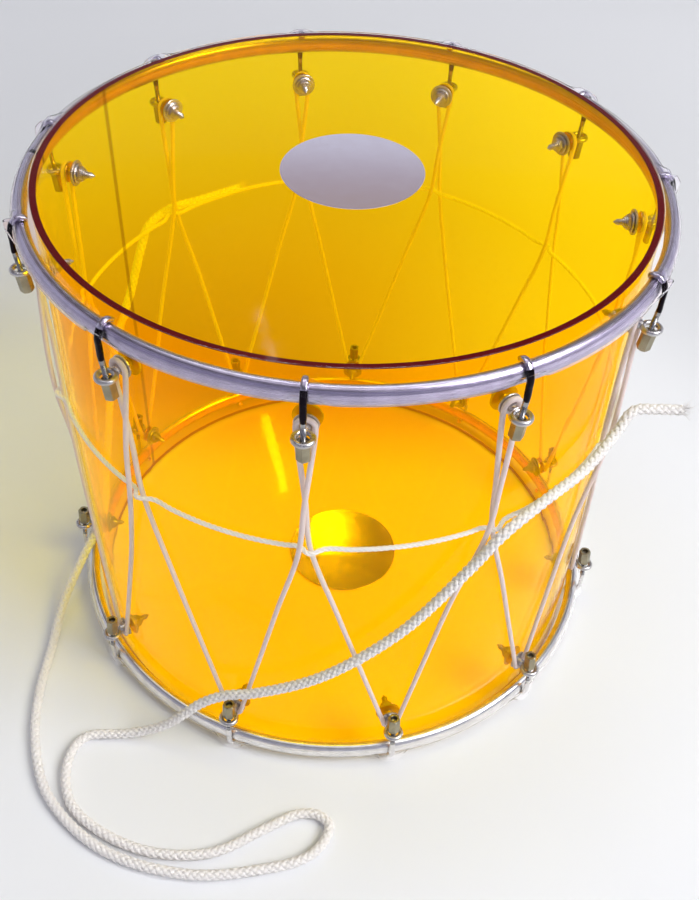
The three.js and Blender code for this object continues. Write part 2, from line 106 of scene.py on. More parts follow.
# Floor: radii of its rings, then where its painted shade and glow start and end, counted from the drum's
# middle
FLOOR_RINGS = (0.0, 0.3, 0.8, 1.6, 3.0, 6.0)
FALLOFF_SHADE_START = (0.29, 0.47)
FALLOFF_SHADE_END = (0.55, 1.1)
UNDER_EDGE = (0.15, 0.18)
UNDER_GLOW = 0.36
LIT_SIDE = (0.0, 0.3)
LIT_SIDE_GLOW = (0.08, 0.22)
SHADE_START = (0.06, 0.18)
SHADE_END = (0.24, 0.8)
SHADE_SIDE = (-0.1, 0.35)

# Lamps: name, place, direction of the first side, sizes of both sides, and power in watts
LAMP_TARGET = (0.0, 0.0, 0.1)
LAMPS = (
    ("window", (1.6, -0.8, 1.9), (1.0, 2.0, 0.0), (1.3, 1.3), 53.0),
    ("ceiling_lamp", (-0.1, 0.36, 2.2), (1.0, 0.0, 0.0), (1.3, 0.34), 5.0),
    ("strip_light", (-0.76, 8.53, 8.44), (0.3, -0.66, 0.69), (0.95, 0.105), 20.0),
    ("patch_light", (-0.08, 7.91, 9.05), (1.0, 0.0, 0.0), (0.3, 0.3), 5.0),
)

# Room: colours, and where they start and end in the z of the direction that is looked in; the
# front wall also starts by its y
DIM_ROOM = (0.03, 0.03, 0.036)
BACK_WALL = (0.62, 0.64, 0.73)
BACK_WALL_BANDS = (
    (0.488, 0.495, (0.33, 0.265, 0.3)), (0.511, 0.519, (0.275, 0.17, 0.13)), (0.535, 0.6, DIM_ROOM))
FRONT_WALL = (0.36, 0.36, 0.46)
FRONT_WALL_START = (0.1, -0.3)
FRONT_WALL_TOP = (0.54, 0.68)
CEILING = (0.85, 0.84, 0.9)
CEILING_START = (0.73, 0.92)
BACKGROUND = (0.85, 0.86, 0.9)
EVEN_LIGHT = (0.39, 0.39, 0.41)

# Cord routes
WAIST_HEIGHT = 0.195
WAIST_BACK_RISE = 0.0105
CROSSING_SHARE = 0.4
PAIR_SPACING = 0.0052
WEAVE_LIFT = 0.004
WEAVE_RUN = 0.008
# Strap: azimuth in degrees, distance of its middle from the tube and height, both in metres
STRAP_ROUTE = np.array([
    (-23.4, .0356, .2185), (-25.4, .024, .2195), (-28.2, .0134, .2205), (-32.4, .0102, .213),
    (-42, .009, .2075), (-53, .0092, .205), (-61.2, .011, .1964), (-66, .0094, .176),
    (-77.5, .0086, .132), (-91.5, .0082, .092), (-104.5, .0086, .065), (-110, .0098, .056),
    (-114.5, .0136, .045), (-121.5, .026, .018), (-127.5, .039, .005), (-132.2, .057, .0038),
    (-131, .074, .0038), (-125.5, .092, .0038), (-115, .093, .0038), (-105.5, .08, .0038),
    (-98.5, .0568, .0038), (-94.2, .046, .0038), (-91, .0454, .0038), (-89.2, .051, .0038),
    (-89.6, .06, .0038), (-92, .071, .0038), (-97.5, .081, .0038), (-107, .095, .0038),
    (-118.5, .1026, .0038), (-129, .0966, .0038), (-137, .081, .0038), (-144, .0635, .0038),
    (-152, .0435, .0046), (-160.5, .028, .0104), (-168.5, .012, .0214), (-175.2, .005, .0226),
    (-182, .0052, .026), (-189.5, .0072, .044), (-203, .008, .124), (-211.5, .008, .156),
    (-216.4, .0084, .183), (-219.5, .0094, .1955), (-226, .0112, .1995), (-234, .0082, .2),
    (-243.5, .0076, .2015),
])
# Distances between the points of the finished routes
STRAP_STEP = 0.0009
LACING_STEP = 0.0022
WAIST_STEP = 0.0008
# Strap's braid, as shares of its diameter
BRAID_LAY = 2.6
BRAID_STRAND_WIDTH = 0.34
BRAID_STRAND_HEIGHT = 0.22
BRAID_SWAY = 0.085
# Loose fibres: their number and radius, and as shares of the strap's diameter their places, reach
# and spread
FIBRE_COUNT = 70
FIBRE_RADIUS = 0.00011
FIBRE_PLACE = 0.42
FIBRE_REACH = (0.5, 1.15)
FIBRE_SPREAD = 0.35
# Points of a route's end that give its tail its direction
TAIL_POINTS = 12
# Waist cord's strands, as shares of its diameter
WAIST_LAY = 3.2
WAIST_STRAND_PLACE = 0.235
WAIST_STRAND_WIDTH = 0.54
WAIST_STRAND_HEIGHT = 0.5
# Painted glow that a cord gives off where clear pieces see it
CORD_PAINTED_GLOW = 0.3

# Station hardware
KINK_DROP = 0.020
STRAP_BEND_DROP = 0.0145
KINK_LENGTH = 0.003
ROD_RECESS = 0.002
HOOK_STANDOFF = 0.0008
HOOK_BEND_DEGREES = (128, 105, 75, 35)
HOOK_STEP = 0.00024
# Level on the hoop, in degrees, below which a hook's strap takes its second finish, a painted shade on
# the upper hooks
STRAP_SHADE_DEGREES = 58
THREAD_PITCH = 0.0007
THREAD_DEPTH = 0.00018
THREAD_START = 0.002
THREAD_RUN = 0.0015
SHANK_RADIUS = 0.0025
# Sides of the solid shanks, whose corners the lacing keeps clear of
SHANK_SIDES = 7
# Washers, spring ring and nut: radius and thickness; tip: radius and length
OUTER_WASHER = (0.006, 0.001)
INNER_WASHER = (0.00725, 0.0012)
SPRING_RING = (0.0057, 0.0013)
INNER_NUT = (0.0045, 0.0034)
TIP = (0.0018, 0.005)
TIP_POINT = 0.002
CONE_LENGTH = 0.0024

# Tube: half the side of the patch round a hole, and the seam's place and width
HOLE_PATCH = 0.0085
SEAM_DEGREES = 151.5
SEAM_WIDTH = 0.0024
# Acrylic: painted glow it gives off, share of a lamp's light it passes, and power of its tint there
AMBER_PAINTED_GLOW = 0.07
AMBER_SHADOW = 0.94
AMBER_SHADOW_TINT = 0.2
# Hoops: their joint, and how much thinner the sleeve in it is
HOOP_JOINT_DEGREES = 176.7
HOOP_JOINT_GAP = 0.0034
HOOP_SLEEVE_INSET = 0.0005

# Films: rings of a head's flat part, as shares of the tube's radius
FILM_FLAT_SHARES = np.array([0, .3, .6, .85, .96, .993, .998])
FILM_EDGE_STEPS = 5
FILM_WRAP_STEPS = 18
FILM_GAP = GAP + 0.0001
# Columns of the film for each station, and how strongly they crowd towards its hook
FILM_COLUMNS = 40
FILM_CROWDING = 2.2
# Where the film leaves the tube's edge, meets the hoop and ends, in degrees; and over a hook
FILM_TURNS = (56, 66, -30)
FILM_TURNS_OVER_HOOK = (72, 82, 40)
# Step of the wrap from which the film hangs straight outside a hook, and the steps it takes
FILM_HANG_START = 5
FILM_HANG_STEPS = 6
# Width of the film's slope beside a hook, and the depth of its slow waves
FILM_SLOPE = 0.0095
FILM_SLACK = 0.00007
# Creases: share of the profile where they start, and how fast they rise, fade and repeat
CREASE_START = 0.42
CREASE_RISE = 5
CREASE_FADE = 0.016
CREASE_SPACING = 0.014
CREASE_SLANT = 3.0
CREASE_DEPTH = 0.00016

# Points closer than this are one point, and edges shorter than the second length are taken out
MERGE_WITHIN = 1e-6
SHORTEST_EDGE = 1e-7
# Direction that no cord starts along
OFF_COURSE = (0.31, 0.17, 0.93)


def unit(vectors):
    """Vectors of length one along the given ones."""
    return vectors / np.linalg.norm(vectors, axis=-1, keepdims=True)


def together(*coordinates):
    """Points whose coordinates are given one array at a time."""
    return np.stack(np.broadcast_arrays(*coordinates), -1)


def full_turn(steps):
    """Angles of a full turn, spaced evenly."""
    return np.linspace(0, 2 * np.pi, steps, endpoint=False)


def polar(radius, azimuth, height, aside=0.0):
    """Points at a distance from the drum's axis, an azimuth and a height, moved aside along
    the wall: x = r cos a - s sin a, y = r sin a + s cos a."""
    x = radius * np.cos(azimuth) - aside * np.sin(azimuth)
    y = radius * np.sin(azimuth) + aside * np.cos(azimuth)
    return together(x, y, height)


def curve_through(points, steps, closed=False):
    """Centripetal Catmull-Rom curve: between two points it is a cubic whose end slopes come
    from the neighbours, weighted by the square roots of the distances."""
    if closed:
        rows = np.concatenate([points[-1:], points, points[:2]])
    else:
        first = 2 * points[0] - points[1]
        last = 2 * points[-1] - points[-2]
        rows = np.concatenate([first[None], points, last[None]])
    a, b, c, d = rows[:-3], rows[1:-2], rows[2:-1], rows[3:]
    ab, bc, cd = (
        np.sqrt(np.linalg.norm(q - p, axis=1))[:, None] for p, q in ((a, b), (b, c), (c, d)))
    leave = ((b - a) / ab - (c - a) / (ab + bc) + (c - b) / bc) * bc
    arrive = ((c - b) / bc - (d - b) / (bc + cd) + (d - c) / cd) * bc
    t = np.linspace(0, 1, steps, endpoint=False)[None, :, None]
    b, c, leave, arrive = (v[:, None] for v in (b, c, leave, arrive))
    cubic = (2 * t**3 - 3 * t**2 + 1) * b + (t**3 - 2 * t**2 + t) * leave
    cubic = (cubic + (3 * t**2 - 2 * t**3) * c + (t**3 - t**2) * arrive).reshape(-1, 3)
    return cubic if closed else np.concatenate([cubic, points[-1:]])


def evenly(path, step, closed=False):
    """The path's points again, spaced evenly along it, and their distances from its start."""
    line = np.concatenate([path, path[:1]]) if closed else path
    reach = np.concatenate([[0], np.cumsum(np.linalg.norm(np.diff(line, axis=0), axis=1))])
    count = max(int(round(reach[-1] / step)), 2)
    at = np.linspace(0, reach[-1], count + 1)
    spaced = np.stack([np.interp(at, reach, line[:, k]) for k in range(3)], -1)
    return (spaced[:-1], at[:-1]) if closed else (spaced, at)


def tangents(path, closed=False):
    """Directions of a path: from each point's forerunner to its follower."""
    ahead, behind = np.roll(path, -1, 0), np.roll(path, 1, 0)
    if not closed:
        ahead[-1], behind[0] = path[-1], path[0]
    return unit(ahead - behind)


def carried_sides(path, closed=False):
    """Two directions across a path that turn with it and do not twist: each is the last one
    less its share along the new tangent. A closed path spreads what is left over evenly."""
    along = tangents(path, closed)
    side = np.empty_like(path)
    side[0] = unit(np.cross(along[0], OFF_COURSE))
    for i in range(1, len(path)):
        side[i] = unit(side[i - 1] - along[i] * (side[i - 1] @ along[i]))
    other = np.cross(along, side)
    if closed:
        last = unit(side[-1] - along[0] * (side[-1] @ along[0]))
        left = math.atan2(last @ other[0], last @ side[0])
        turn = -left * np.arange(len(path))[:, None] / len(path)
        side, other = (
            side * np.cos(turn) + other * np.sin(turn), other * np.cos(turn) - side * np.sin(turn)
        )
    return side, other


def grid(points, closed=False, length=1.0, slot=0):
    """Surface of a grid of points whose rows are rings, and whose last ring may meet the first: its
    quads, and a map whose u runs over the rings to a length and whose v runs round them to one."""
    rows, columns = points.shape[:2]
    i = np.arange(rows if closed else rows - 1)[:, None, None]
    j = np.arange(columns)[None, :, None]
    di = np.array([0, 0, 1, 1])
    dj = np.array([0, 1, 1, 0])
    faces = ((i + di) % rows) * columns + (j + dj) % columns
    u = np.broadcast_to((i + di) * length / (rows - (not closed)), faces.shape)
    v = np.broadcast_to((j + dj) / columns, faces.shape)
    quads = faces.reshape(-1, 4)
    chart = np.stack([u, v], -1).reshape(-1, 2)
    return points.reshape(-1, 3), quads, chart, np.full(len(quads), slot)


def joined(surfaces):
    """Several surfaces as one."""
    shift = np.cumsum([0] + [len(s[0]) for s in surfaces[:-1]])
    faces = np.concatenate([s[1] + k for s, k in zip(surfaces, shift)])
    points, chart, slots = (np.concatenate([s[k] for s in surfaces]) for k in (0, 2, 3))
    return points, faces, chart, slots


def tube(path, side, other, section, closed=False, length=1.0):
    """Section of (across, up) pairs carried along a path; an open tube ends in its middle."""
    across, up = section[..., 0, None], section[..., 1, None]
    points = path[:, None] + across * side[:, None] + up * other[:, None]
    if not closed:
        ends = [np.repeat(path[k][None, None], points.shape[1], 1) for k in (0, -1)]
        points = np.concatenate([ends[0], points, ends[1]])
    return grid(points, closed, length)


def circle(radius, sides):
    """Points of a circle as (across, up) pairs."""
    turn = full_turn(sides)
    return radius * np.stack([np.cos(turn), np.sin(turn)], -1)


def turned(profile, sides, slot=0):
    """Profile of (along, radius) pairs spun about its axis: (along, radius cos b, radius sin b)."""
    along, radius = np.array(profile).T[:, :, None]
    turn = full_turn(sides)
    points = together(along, radius * np.cos(turn), radius * np.sin(turn))
    return grid(points, slot=slot)


def moved(surface, change):
    """The surface with its points changed by a function."""
    return (change(surface[0]),) + surface[1:]


def finish_piece(name, surface, materials, body="drum", replaced=(), sharp=40.0):
    """Puts a surface into a mesh at the origin with its doubles merged and its faces outwards, hangs it
    on the empty of the body it rides on, hides the solids it stands for and gives it its finishes."""
    points, faces, chart, slots = surface
    mesh = bpy.data.meshes.new(name)
    mesh.from_pydata(points.tolist(), [], faces.tolist())
    mesh.uv_layers.new(name="surface").data.foreach_set("uv", chart.astype(np.float32).ravel())
    mesh.polygons.foreach_set("material_index", slots.astype(np.int32))
    work = bmesh.new()
    work.from_mesh(mesh)
    bmesh.ops.remove_doubles(work, verts=work.verts, dist=MERGE_WITHIN)
    bmesh.ops.dissolve_degenerate(work, edges=work.edges, dist=SHORTEST_EDGE)
    bmesh.ops.recalc_face_normals(work, faces=work.faces)
    work.to_mesh(mesh)
    work.free()
    mesh.shade_smooth()
    mesh.set_sharp_from_angle(angle=math.radians(sharp))
    for material in materials:
        mesh.materials.append(material)
    piece = bpy.data.objects.new(name, mesh)
    bpy.context.scene.collection.objects.link(piece)
    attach(piece, body)
    if replaced:
        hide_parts(*replaced)
    return piece


# Shapes


def tube_surface(wall, bevel=0.00025):
    """Round wall between two radii with a bevelled cut edge at each end and a round hole for
    every bolt. A hole sits in a square patch: rings lead from the square to the circle by
    P = (1 - t) square + t circle."""
    bore = TUBE_RADIUS - wall
    half, cells, rings = HOLE_PATCH, 8, 4
    spots = [(a % (2 * np.pi), e.height(-e.eye_drop)) for e in ENDS.values() for a in e.azimuths]
    spots.sort()
    spread = half / TUBE_RADIUS
    turns, firsts = [], []
    for k, (azimuth, _) in enumerate(spots):
        following = spots[(k + 1) % len(spots)][0] + (2 * np.pi if k + 1 == len(spots) else 0)
        firsts.append(sum(len(t) for t in turns))
        turns.append(np.linspace(azimuth - spread, azimuth + spread, cells + 1))
        turns.append(np.linspace(azimuth + spread, following - spread, 6)[1:-1])
    azimuths = np.concatenate(turns)
    low, high = TUBE_LOW.z + bevel, TUBE_HIGH.z - bevel
    levels = sorted({height for _, height in spots})
    bands = [np.linspace(z - half, z + half, cells + 1) for z in levels]
    middle = np.linspace(bands[0][-1], bands[1][0], 6)[1:-1]
    heights = np.concatenate([[low], bands[0], middle, bands[1], [high]])
    kept = np.ones((len(heights) - 1, len(azimuths)), bool)
    for first, (_, level) in zip(firsts, spots):
        row = int(np.argmin(abs(heights - (level - half))))
        kept[row:row + cells, first:first + cells] = False
    edge = np.linspace(-half, half, cells + 1)[:-1]
    square = np.concatenate([
        np.stack([edge, np.full(cells, -half)], -1), np.stack([np.full(cells, half), edge], -1),
        np.stack([-edge, np.full(cells, half)], -1), np.stack([np.full(cells, -half), -edge], -1)])
    round_hole = (SHANK_RADIUS + GAP) * unit(square)
    share = np.linspace(0, 1, rings)[:, None, None]
    patch = (1 - share) * square + share * round_hole
    surfaces = []
    for radius in (TUBE_RADIUS, bore):
        points, faces, chart, slots = grid(polar(radius, azimuths[None], heights[:, None]))
        stay = kept.ravel()
        corners = np.repeat(stay, 4)
        surfaces.append((points, faces[stay], chart[corners], slots[stay]))
        for azimuth, level in spots:
            turn = azimuth + patch[..., 0] / TUBE_RADIUS
            surfaces.append(grid(polar(radius, turn, level + patch[..., 1])))
    for azimuth, level in spots:
        radii = np.array([TUBE_RADIUS, bore])[:, None]
        turn = azimuth + round_hole[None, :, 0] / TUBE_RADIUS
        surfaces.append(grid(polar(radii, turn, level + round_hole[None, :, 1])))
    for start, way in ((low, -1), (high, 1)):
        radii = np.array([TUBE_RADIUS, TUBE_RADIUS - bevel, bore + bevel, bore])[:, None]
        levels = (start + way * bevel * np.array([0, 1, 1, 0]))[:, None]
        surfaces.append(grid(polar(radii, azimuths[None], levels), slot=1))
    return joined(surfaces)


def oval(sizes, degrees, grown):
    """Radius and level of the hoop's oval grown by an amount: centre + (a cos t, b sin t)."""
    turn = np.radians(degrees)
    centre = TUBE_RADIUS + sizes.hoop_standoff + sizes.hoop_width / 2
    level = -sizes.hoop_drop - sizes.hoop_height / 2
    return together(centre + (sizes.hoop_width / 2 + grown) * np.cos(turn),
                    level + (sizes.hoop_height / 2 + grown) * np.sin(turn))


def hook_radius(sizes):
    """Distance of the hooks' middle from the drum's axis where they hang beside the hoop."""
    outside = TUBE_RADIUS + sizes.hoop_standoff + sizes.hoop_width
    return outside + HOOK_STANDOFF + sizes.hook_thickness / 2


def film_face(sizes, rise, lifted):
    """One face of the film, as (radius, level) pairs from the middle outwards: flat, round the
    tube's edge on an arc, straight to the hoop and round its outside. A hook lifts it."""
    leave, meet, hem = FILM_TURNS_OVER_HOOK if lifted else FILM_TURNS
    flat = TUBE_RADIUS * FILM_FLAT_SHARES
    head = np.stack([flat, np.full(len(flat), GAP + rise)], -1)
    bend = np.radians(np.linspace(90, leave, FILM_EDGE_STEPS))
    edge = np.stack([TUBE_RADIUS + (GAP + rise) * np.cos(bend), (GAP + rise) * np.sin(bend)], -1)
    over = FILM_GAP + rise + (GAP + sizes.hook_thickness if lifted else 0.0)
    wrap = oval(sizes, np.linspace(meet, hem, FILM_WRAP_STEPS), over)
    if lifted:
        plain = oval(sizes, np.linspace(FILM_TURNS[1], hem, FILM_WRAP_STEPS), FILM_GAP + rise)
        outside = hook_radius(sizes) + sizes.hook_thickness / 2 + FILM_GAP + rise
        share = np.clip((np.arange(FILM_WRAP_STEPS) - FILM_HANG_START) / FILM_HANG_STEPS, 0, 1)
        wrap[:, 0] = np.where(share > 0, np.maximum(wrap[:, 0], outside * share), wrap[:, 0])
        wrap[:, 1] += (plain[:, 1] - wrap[:, 1]) * share
    return np.concatenate([head, edge, wrap])


def film_surface(end, sizes):
    """Film between its two faces, spun round the drum. At a station it is lifted over the hook
    by k = 1 on the hook, falling as 1 - t^2 (3 - 2 t) beside it, and fine creases run out from
    the hook's shoulders as a fading sine."""
    share = np.linspace(-0.5, 0.5, FILM_COLUMNS, endpoint=False)
    share = np.sign(share) * (2 * abs(share)) ** FILM_CROWDING / 2
    azimuths = (end.azimuths[:, None] + PITCH * share[None]).ravel()
    beside = np.tile(abs(share) * PITCH * TUBE_RADIUS, STATIONS)
    flat_top = sizes.hook_width / 2 + 2 * GAP
    fall = np.clip((beside - flat_top) / FILM_SLOPE, 0, 1)
    lift = 1 - fall**2 * (3 - 2 * fall)
    faces = []
    for rise in (sizes.film, 0.0):
        plain, lifted = (film_face(sizes, rise, lifted=over) for over in (False, True))
        k = lift[:, None, None]
        profile = (1 - k) * plain[None] + k * lifted[None]
        along = np.linspace(0, 1, profile.shape[1])[None]
        on_hoop = np.clip((along - CREASE_START) * CREASE_RISE, 0, 1)
        fade = np.exp(-beside[:, None] / CREASE_FADE) * (1 - lift[:, None])
        waves = CREASE_SLANT * along + beside[:, None] / CREASE_SPACING
        crease = np.sin(2 * np.pi * waves) * fade * on_hoop
        slack = np.sin(9 * end.azimuths[0] + 3 * azimuths[:, None]) * FILM_SLACK * on_hoop
        profile[..., 0] += CREASE_DEPTH * np.clip(crease, -0.4, 1) + slack
        faces.append(profile)
    profile = np.concatenate([faces[0], faces[1][:, ::-1]], 1)
    points = polar(profile[..., 0], azimuths[:, None], end.height(profile[..., 1]))
    points, quads, chart, _ = grid(points, closed=True)
    columns = profile.shape[1]
    flat = len(FILM_FLAT_SHARES)
    place = np.minimum(np.arange(columns), columns - 2 - np.arange(columns))
    folded = place >= flat + FILM_EDGE_STEPS
    bent = (place >= flat) & (place < flat + FILM_EDGE_STEPS - 1)
    return points, quads, chart, np.tile(np.where(folded, 2, bent), len(azimuths))


def hoop_surface(end, sizes):
    """Oval carried round the drum from one side of the hoop's joint to the other, and a thinner
    sleeve that bridges the joint."""
    joint = math.radians(HOOP_JOINT_DEGREES)
    gap = HOOP_JOINT_GAP / 2 / TUBE_RADIUS
    pieces = []
    for start, stop, rows, inset in (
            (gap, 2 * np.pi - gap, 265, 0.0), (-2 * gap, 2 * gap, 5, HOOP_SLEEVE_INSET)):
        azimuths = joint + np.linspace(start, stop, rows)
        section = oval(sizes, np.linspace(0, 360, 28, endpoint=False), -inset)
        points = polar(section[None, :, 0], azimuths[:, None], end.height(section[None, :, 1]))
        ends = points.mean(1, keepdims=True).repeat(points.shape[1], 1)
        points = np.concatenate([ends[:1], points, ends[-1:]])
        pieces.append(grid(points, length=2 * np.pi * TUBE_RADIUS, slot=len(pieces)))
    return joined(pieces)


def hook_template(end, sizes):
    """Hook in its radial plane, as (radius, aside, level): a flat strap over the hoop and down,
    kinked in to a round rod. The section is |x/a|^n + |y/b|^n = 1 with n from 3 to 2, and the
    rod's thread adds depth cos(2 pi along / pitch - turn)."""
    middle = GAP + sizes.hook_thickness / 2
    outside = hook_radius(sizes)
    start = oval(sizes, np.array(HOOK_BEND_DEGREES), middle)
    hang = [(outside, z) for z in (oval(sizes, 0.0, 0.0)[1], -STRAP_BEND_DROP, -KINK_DROP)]
    nut_start = nut_offset(end, sizes)
    to_eye = (end.eye_drop - KINK_DROP) / math.cos(end.lean)
    rod_end = to_eye + nut_start + sizes.nut_length - ROD_RECESS
    rod = [(outside - d * math.sin(end.lean), -KINK_DROP - d * math.cos(end.lean))
           for d in (KINK_LENGTH, rod_end / 2, rod_end)]
    flat = np.concatenate([start, hang, rod])
    path = np.stack([flat[:, 0], np.zeros(len(flat)), flat[:, 1]], -1)
    line, at = evenly(curve_through(path, 12), HOOK_STEP)
    along = tangents(line)
    aside = np.broadcast_to([0.0, 1.0, 0.0], line.shape)
    out = np.cross(aside, along)
    to_kink = at[-1] - (rod_end - KINK_LENGTH / 2)
    roundness = np.clip((at - to_kink + KINK_LENGTH) / KINK_LENGTH, 0, 1)[:, None]
    threaded = np.clip((at - to_kink - THREAD_START) / THREAD_RUN, 0, 1)[:, None]
    turn = full_turn(14)[None]
    power = 2 / (3 - roundness)
    wide = sizes.hook_width + (sizes.rod_diameter - sizes.hook_width) * roundness
    thick = sizes.hook_thickness + (sizes.rod_diameter - sizes.hook_thickness) * roundness
    thread = THREAD_DEPTH * threaded * (np.cos(2 * np.pi * at[:, None] / THREAD_PITCH - turn) - 1)
    x = (wide / 2 + thread) * np.sign(np.cos(turn)) * abs(np.cos(turn)) ** power
    y = (thick / 2 + thread) * np.sign(np.sin(turn)) * abs(np.sin(turn)) ** power
    points, quads, chart, _ = tube(line, aside, out, np.stack([x, y], -1), length=at[-1])
    # The strap below the shade level takes slot 1, painted shade on the upper hooks
    hanging = (line[:, 2] < oval(sizes, STRAP_SHADE_DEGREES, 0.0)[1]).astype(int)
    part = np.concatenate([[0], hanging + (at > to_kink)])
    return points, quads, chart, np.repeat(part, turn.size)


def nut_offset(end, sizes):
    """Distance from an eye's middle to its nut: past the eye's wire, with room to turn."""
    corner = sizes.nut_flats / 2 / math.cos(math.pi / 6)
    return sizes.eye_wire / 2 + GAP + corner * math.sin(end.lean)


def at_station(end, index):
    """Function that carries (radius, aside, level) points to a station."""
    def carry(points):
        return polar(points[:, 0], end.azimuths[index], end.height(points[:, 2]), points[:, 1])
    return carry


def thread_profile(start, stop, radius):
    """Profile of a thread's ridges between two places: radius less half a cosine."""
    along = np.linspace(start, stop, 4 * int(abs(stop - start) / THREAD_PITCH) + 1)
    ridge = THREAD_DEPTH * (np.cos(2 * np.pi * (along - start) / THREAD_PITCH) - 1)
    return [(a, radius + r) for a, r in zip(along, ridge)]


def rounded_disc(face, back, radius, hole=0.0, bevel=0.0002):
    """Profile of a washer with its edges eased, from its face to its back."""
    way = math.copysign(bevel, back - face)
    return [(face, hole), (face, radius - bevel), (face + way, radius), (back - way, radius),
            (back, radius - bevel), (back, hole)]


def bolt_template(end, sizes):
    """Eye bolt along the radius: a torus for the eye, and turned pieces for shank, washers,
    nut, stepped cone and threaded tip. The nut's six flats are f / cos(b mod 60 - 30)."""
    ring = (sizes.eye_outer - sizes.eye_wire) / 2
    eye_turn, wire_turn = full_turn(44)[:, None], full_turn(14)[None]
    reach = ring + sizes.eye_wire / 2 * np.cos(wire_turn)
    eye = grid(together(
        end.eye_radius + reach * np.cos(eye_turn), reach * np.sin(eye_turn),
        sizes.eye_wire / 2 * np.sin(wire_turn)), closed=True)
    root = end.eye_radius - ring
    outer = TUBE_RADIUS + GAP
    bore = TUBE_RADIUS - sizes.wall
    inner = math.sqrt(bore**2 - INNER_WASHER[0] ** 2) - 2 * GAP
    nut_face = inner - INNER_WASHER[1]
    cone_face = nut_face - INNER_NUT[1]
    tip_face = cone_face - CONE_LENGTH
    end_face = tip_face - TIP[1]
    shank = [(root, 0), (root, SHANK_RADIUS * 0.8), (root - 0.0012, SHANK_RADIUS)]
    shank += thread_profile(outer, inner, SHANK_RADIUS) + [(nut_face, SHANK_RADIUS), (nut_face, 0)]
    step = CONE_LENGTH / 3
    cone_radii = np.linspace(INNER_NUT[0] * 0.84, TIP[0] * 1.25, 3)
    cone = [(cone_face, 0)]
    for k, radius in enumerate(cone_radii):
        face = cone_face - k * step
        cone += [(face, radius * 0.94), (face - step * 0.2, radius),
                 (face - step * 0.9, radius * 0.95)]
    cone += [(tip_face, TIP[0]), (tip_face, 0)]
    tip = [(tip_face, 0)] + thread_profile(tip_face, end_face + TIP_POINT, TIP[0])
    tip += [(end_face, 0.0002), (end_face, 0)]
    ring_face = nut_face - SPRING_RING[1]
    pieces = [
        eye, turned(shank, 18),
        turned(rounded_disc(outer + OUTER_WASHER[1], outer, OUTER_WASHER[0]), 40),
        turned(rounded_disc(inner, nut_face, INNER_WASHER[0]), 44, slot=1),
        turned(rounded_disc(nut_face, ring_face, SPRING_RING[0], bevel=0.0005), 40, slot=1),
        hexagon(ring_face, cone_face, INNER_NUT[0] * math.cos(math.pi / 6), bore=0.0, slot=1),
        turned(cone, 28, slot=1), turned(tip, 16, slot=1),
    ]
    return moved(joined(pieces), lambda p: p - np.array([0, 0, end.eye_drop]))


def hexagon(start, stop, flat, bore, slot=0):
    """Six-sided piece along x with chamfered ends and a bore: its radius is the lesser of
    flat / cos(b mod 60 - 30) and a cone that starts at each end."""
    turn = full_turn(72)[None]
    side = flat / np.cos((turn % (np.pi / 3)) - np.pi / 6)
    length = abs(stop - start)
    depth = np.array([0, 0, .03, .06, .1, .16, .5, .84, .9, .94, .97, 1, 1])[:, None]
    from_end = np.minimum(depth, 1 - depth) * length
    outer = np.minimum(side, flat * 0.97 + 1.6 * from_end)
    inside = np.full((1, turn.size), bore)
    radius = np.concatenate([inside, outer[1:-1], inside])
    closed = bore > 0
    if closed:
        radius = np.concatenate([radius, inside, inside, inside])
        depth = np.concatenate([depth, [[.75], [.5], [.25]]])
    along = start + (stop - start) * depth
    points = together(along, radius * np.cos(turn), radius * np.sin(turn))
    return grid(points, closed, slot=slot)


def dot_surface(end):
    """Flat round patch with an eased edge, in the place of its solid."""
    low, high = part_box(f"centre_dot_{end.name}")
    middle = (np.array(low) + np.array(high)) / 2
    radius, half = (high.x - low.x) / 2, (high.z - low.z) / 2
    rim = half * 0.9
    profile = [(half, 0), (half, radius * .4), (half, radius * .8), (half, radius - rim),
               (half * .4, radius), (-half * .4, radius), (-half, radius - rim), (-half, 0)]
    disc = turned(profile, 120)
    return moved(disc, lambda p: middle + p[:, [1, 2, 0]])


def waist_height(azimuth):
    """Height of the waist tie: it rises at the back by the square of the azimuth's sine."""
    return WAIST_HEIGHT + WAIST_BACK_RISE * np.clip(np.sin(azimuth), 0, None) ** 2


def lacing_route(sizes):
    """Zigzag cord: up the wall from a bottom bolt, over the top one behind its eye, down with
    a crossing, and under the next bottom bolt."""
    top, bottom = ENDS["top"], ENDS["bottom"]
    radius = sizes.cord / 2
    wall = TUBE_RADIUS + GAP + radius
    loop_wall = TUBE_RADIUS + 2 * GAP + OUTER_WASHER[1] + radius
    loop = SHANK_RADIUS / math.cos(math.pi / SHANK_SIDES) + GAP + radius
    high, low = top.height(-top.eye_drop), bottom.height(-bottom.eye_drop)
    shift = (bottom.azimuths[0] - top.azimuths[0]) % PITCH
    half = PAIR_SPACING / 2
    share = np.array([1, 2])[:, None] / 3
    turn = np.linspace(0, np.pi, 9)
    points = []
    for azimuth in top.azimuths:
        before, after = azimuth + shift - PITCH, azimuth + shift
        waist = waist_height(azimuth)
        crossing = waist + CROSSING_SHARE * (high - waist)
        leave, rise = np.array([low, before, loop]), np.array([waist, azimuth, -half])
        fall, arrive = np.array([waist, azimuth, half]), np.array([low, after, -loop])
        up, down = leave + share * (rise - leave), fall + share * (arrive - fall)
        points += [
            polar(wall, up[:, 1], up[:, 0], up[:, 2]),
            polar(wall + WEAVE_LIFT, azimuth, np.array([waist, crossing]), np.array([-half, 0.0])),
            polar(loop_wall, azimuth, high + loop * np.sin(turn), loop * np.cos(turn)),
            polar(wall, azimuth, np.array([crossing, waist]), np.array([0.0, half])),
            polar(wall, down[:, 1], down[:, 0], down[:, 2]),
            polar(loop_wall, after, low - loop * np.sin(turn), -loop * np.cos(turn)),
        ]
    return curve_through(np.concatenate(points), 10, closed=True)


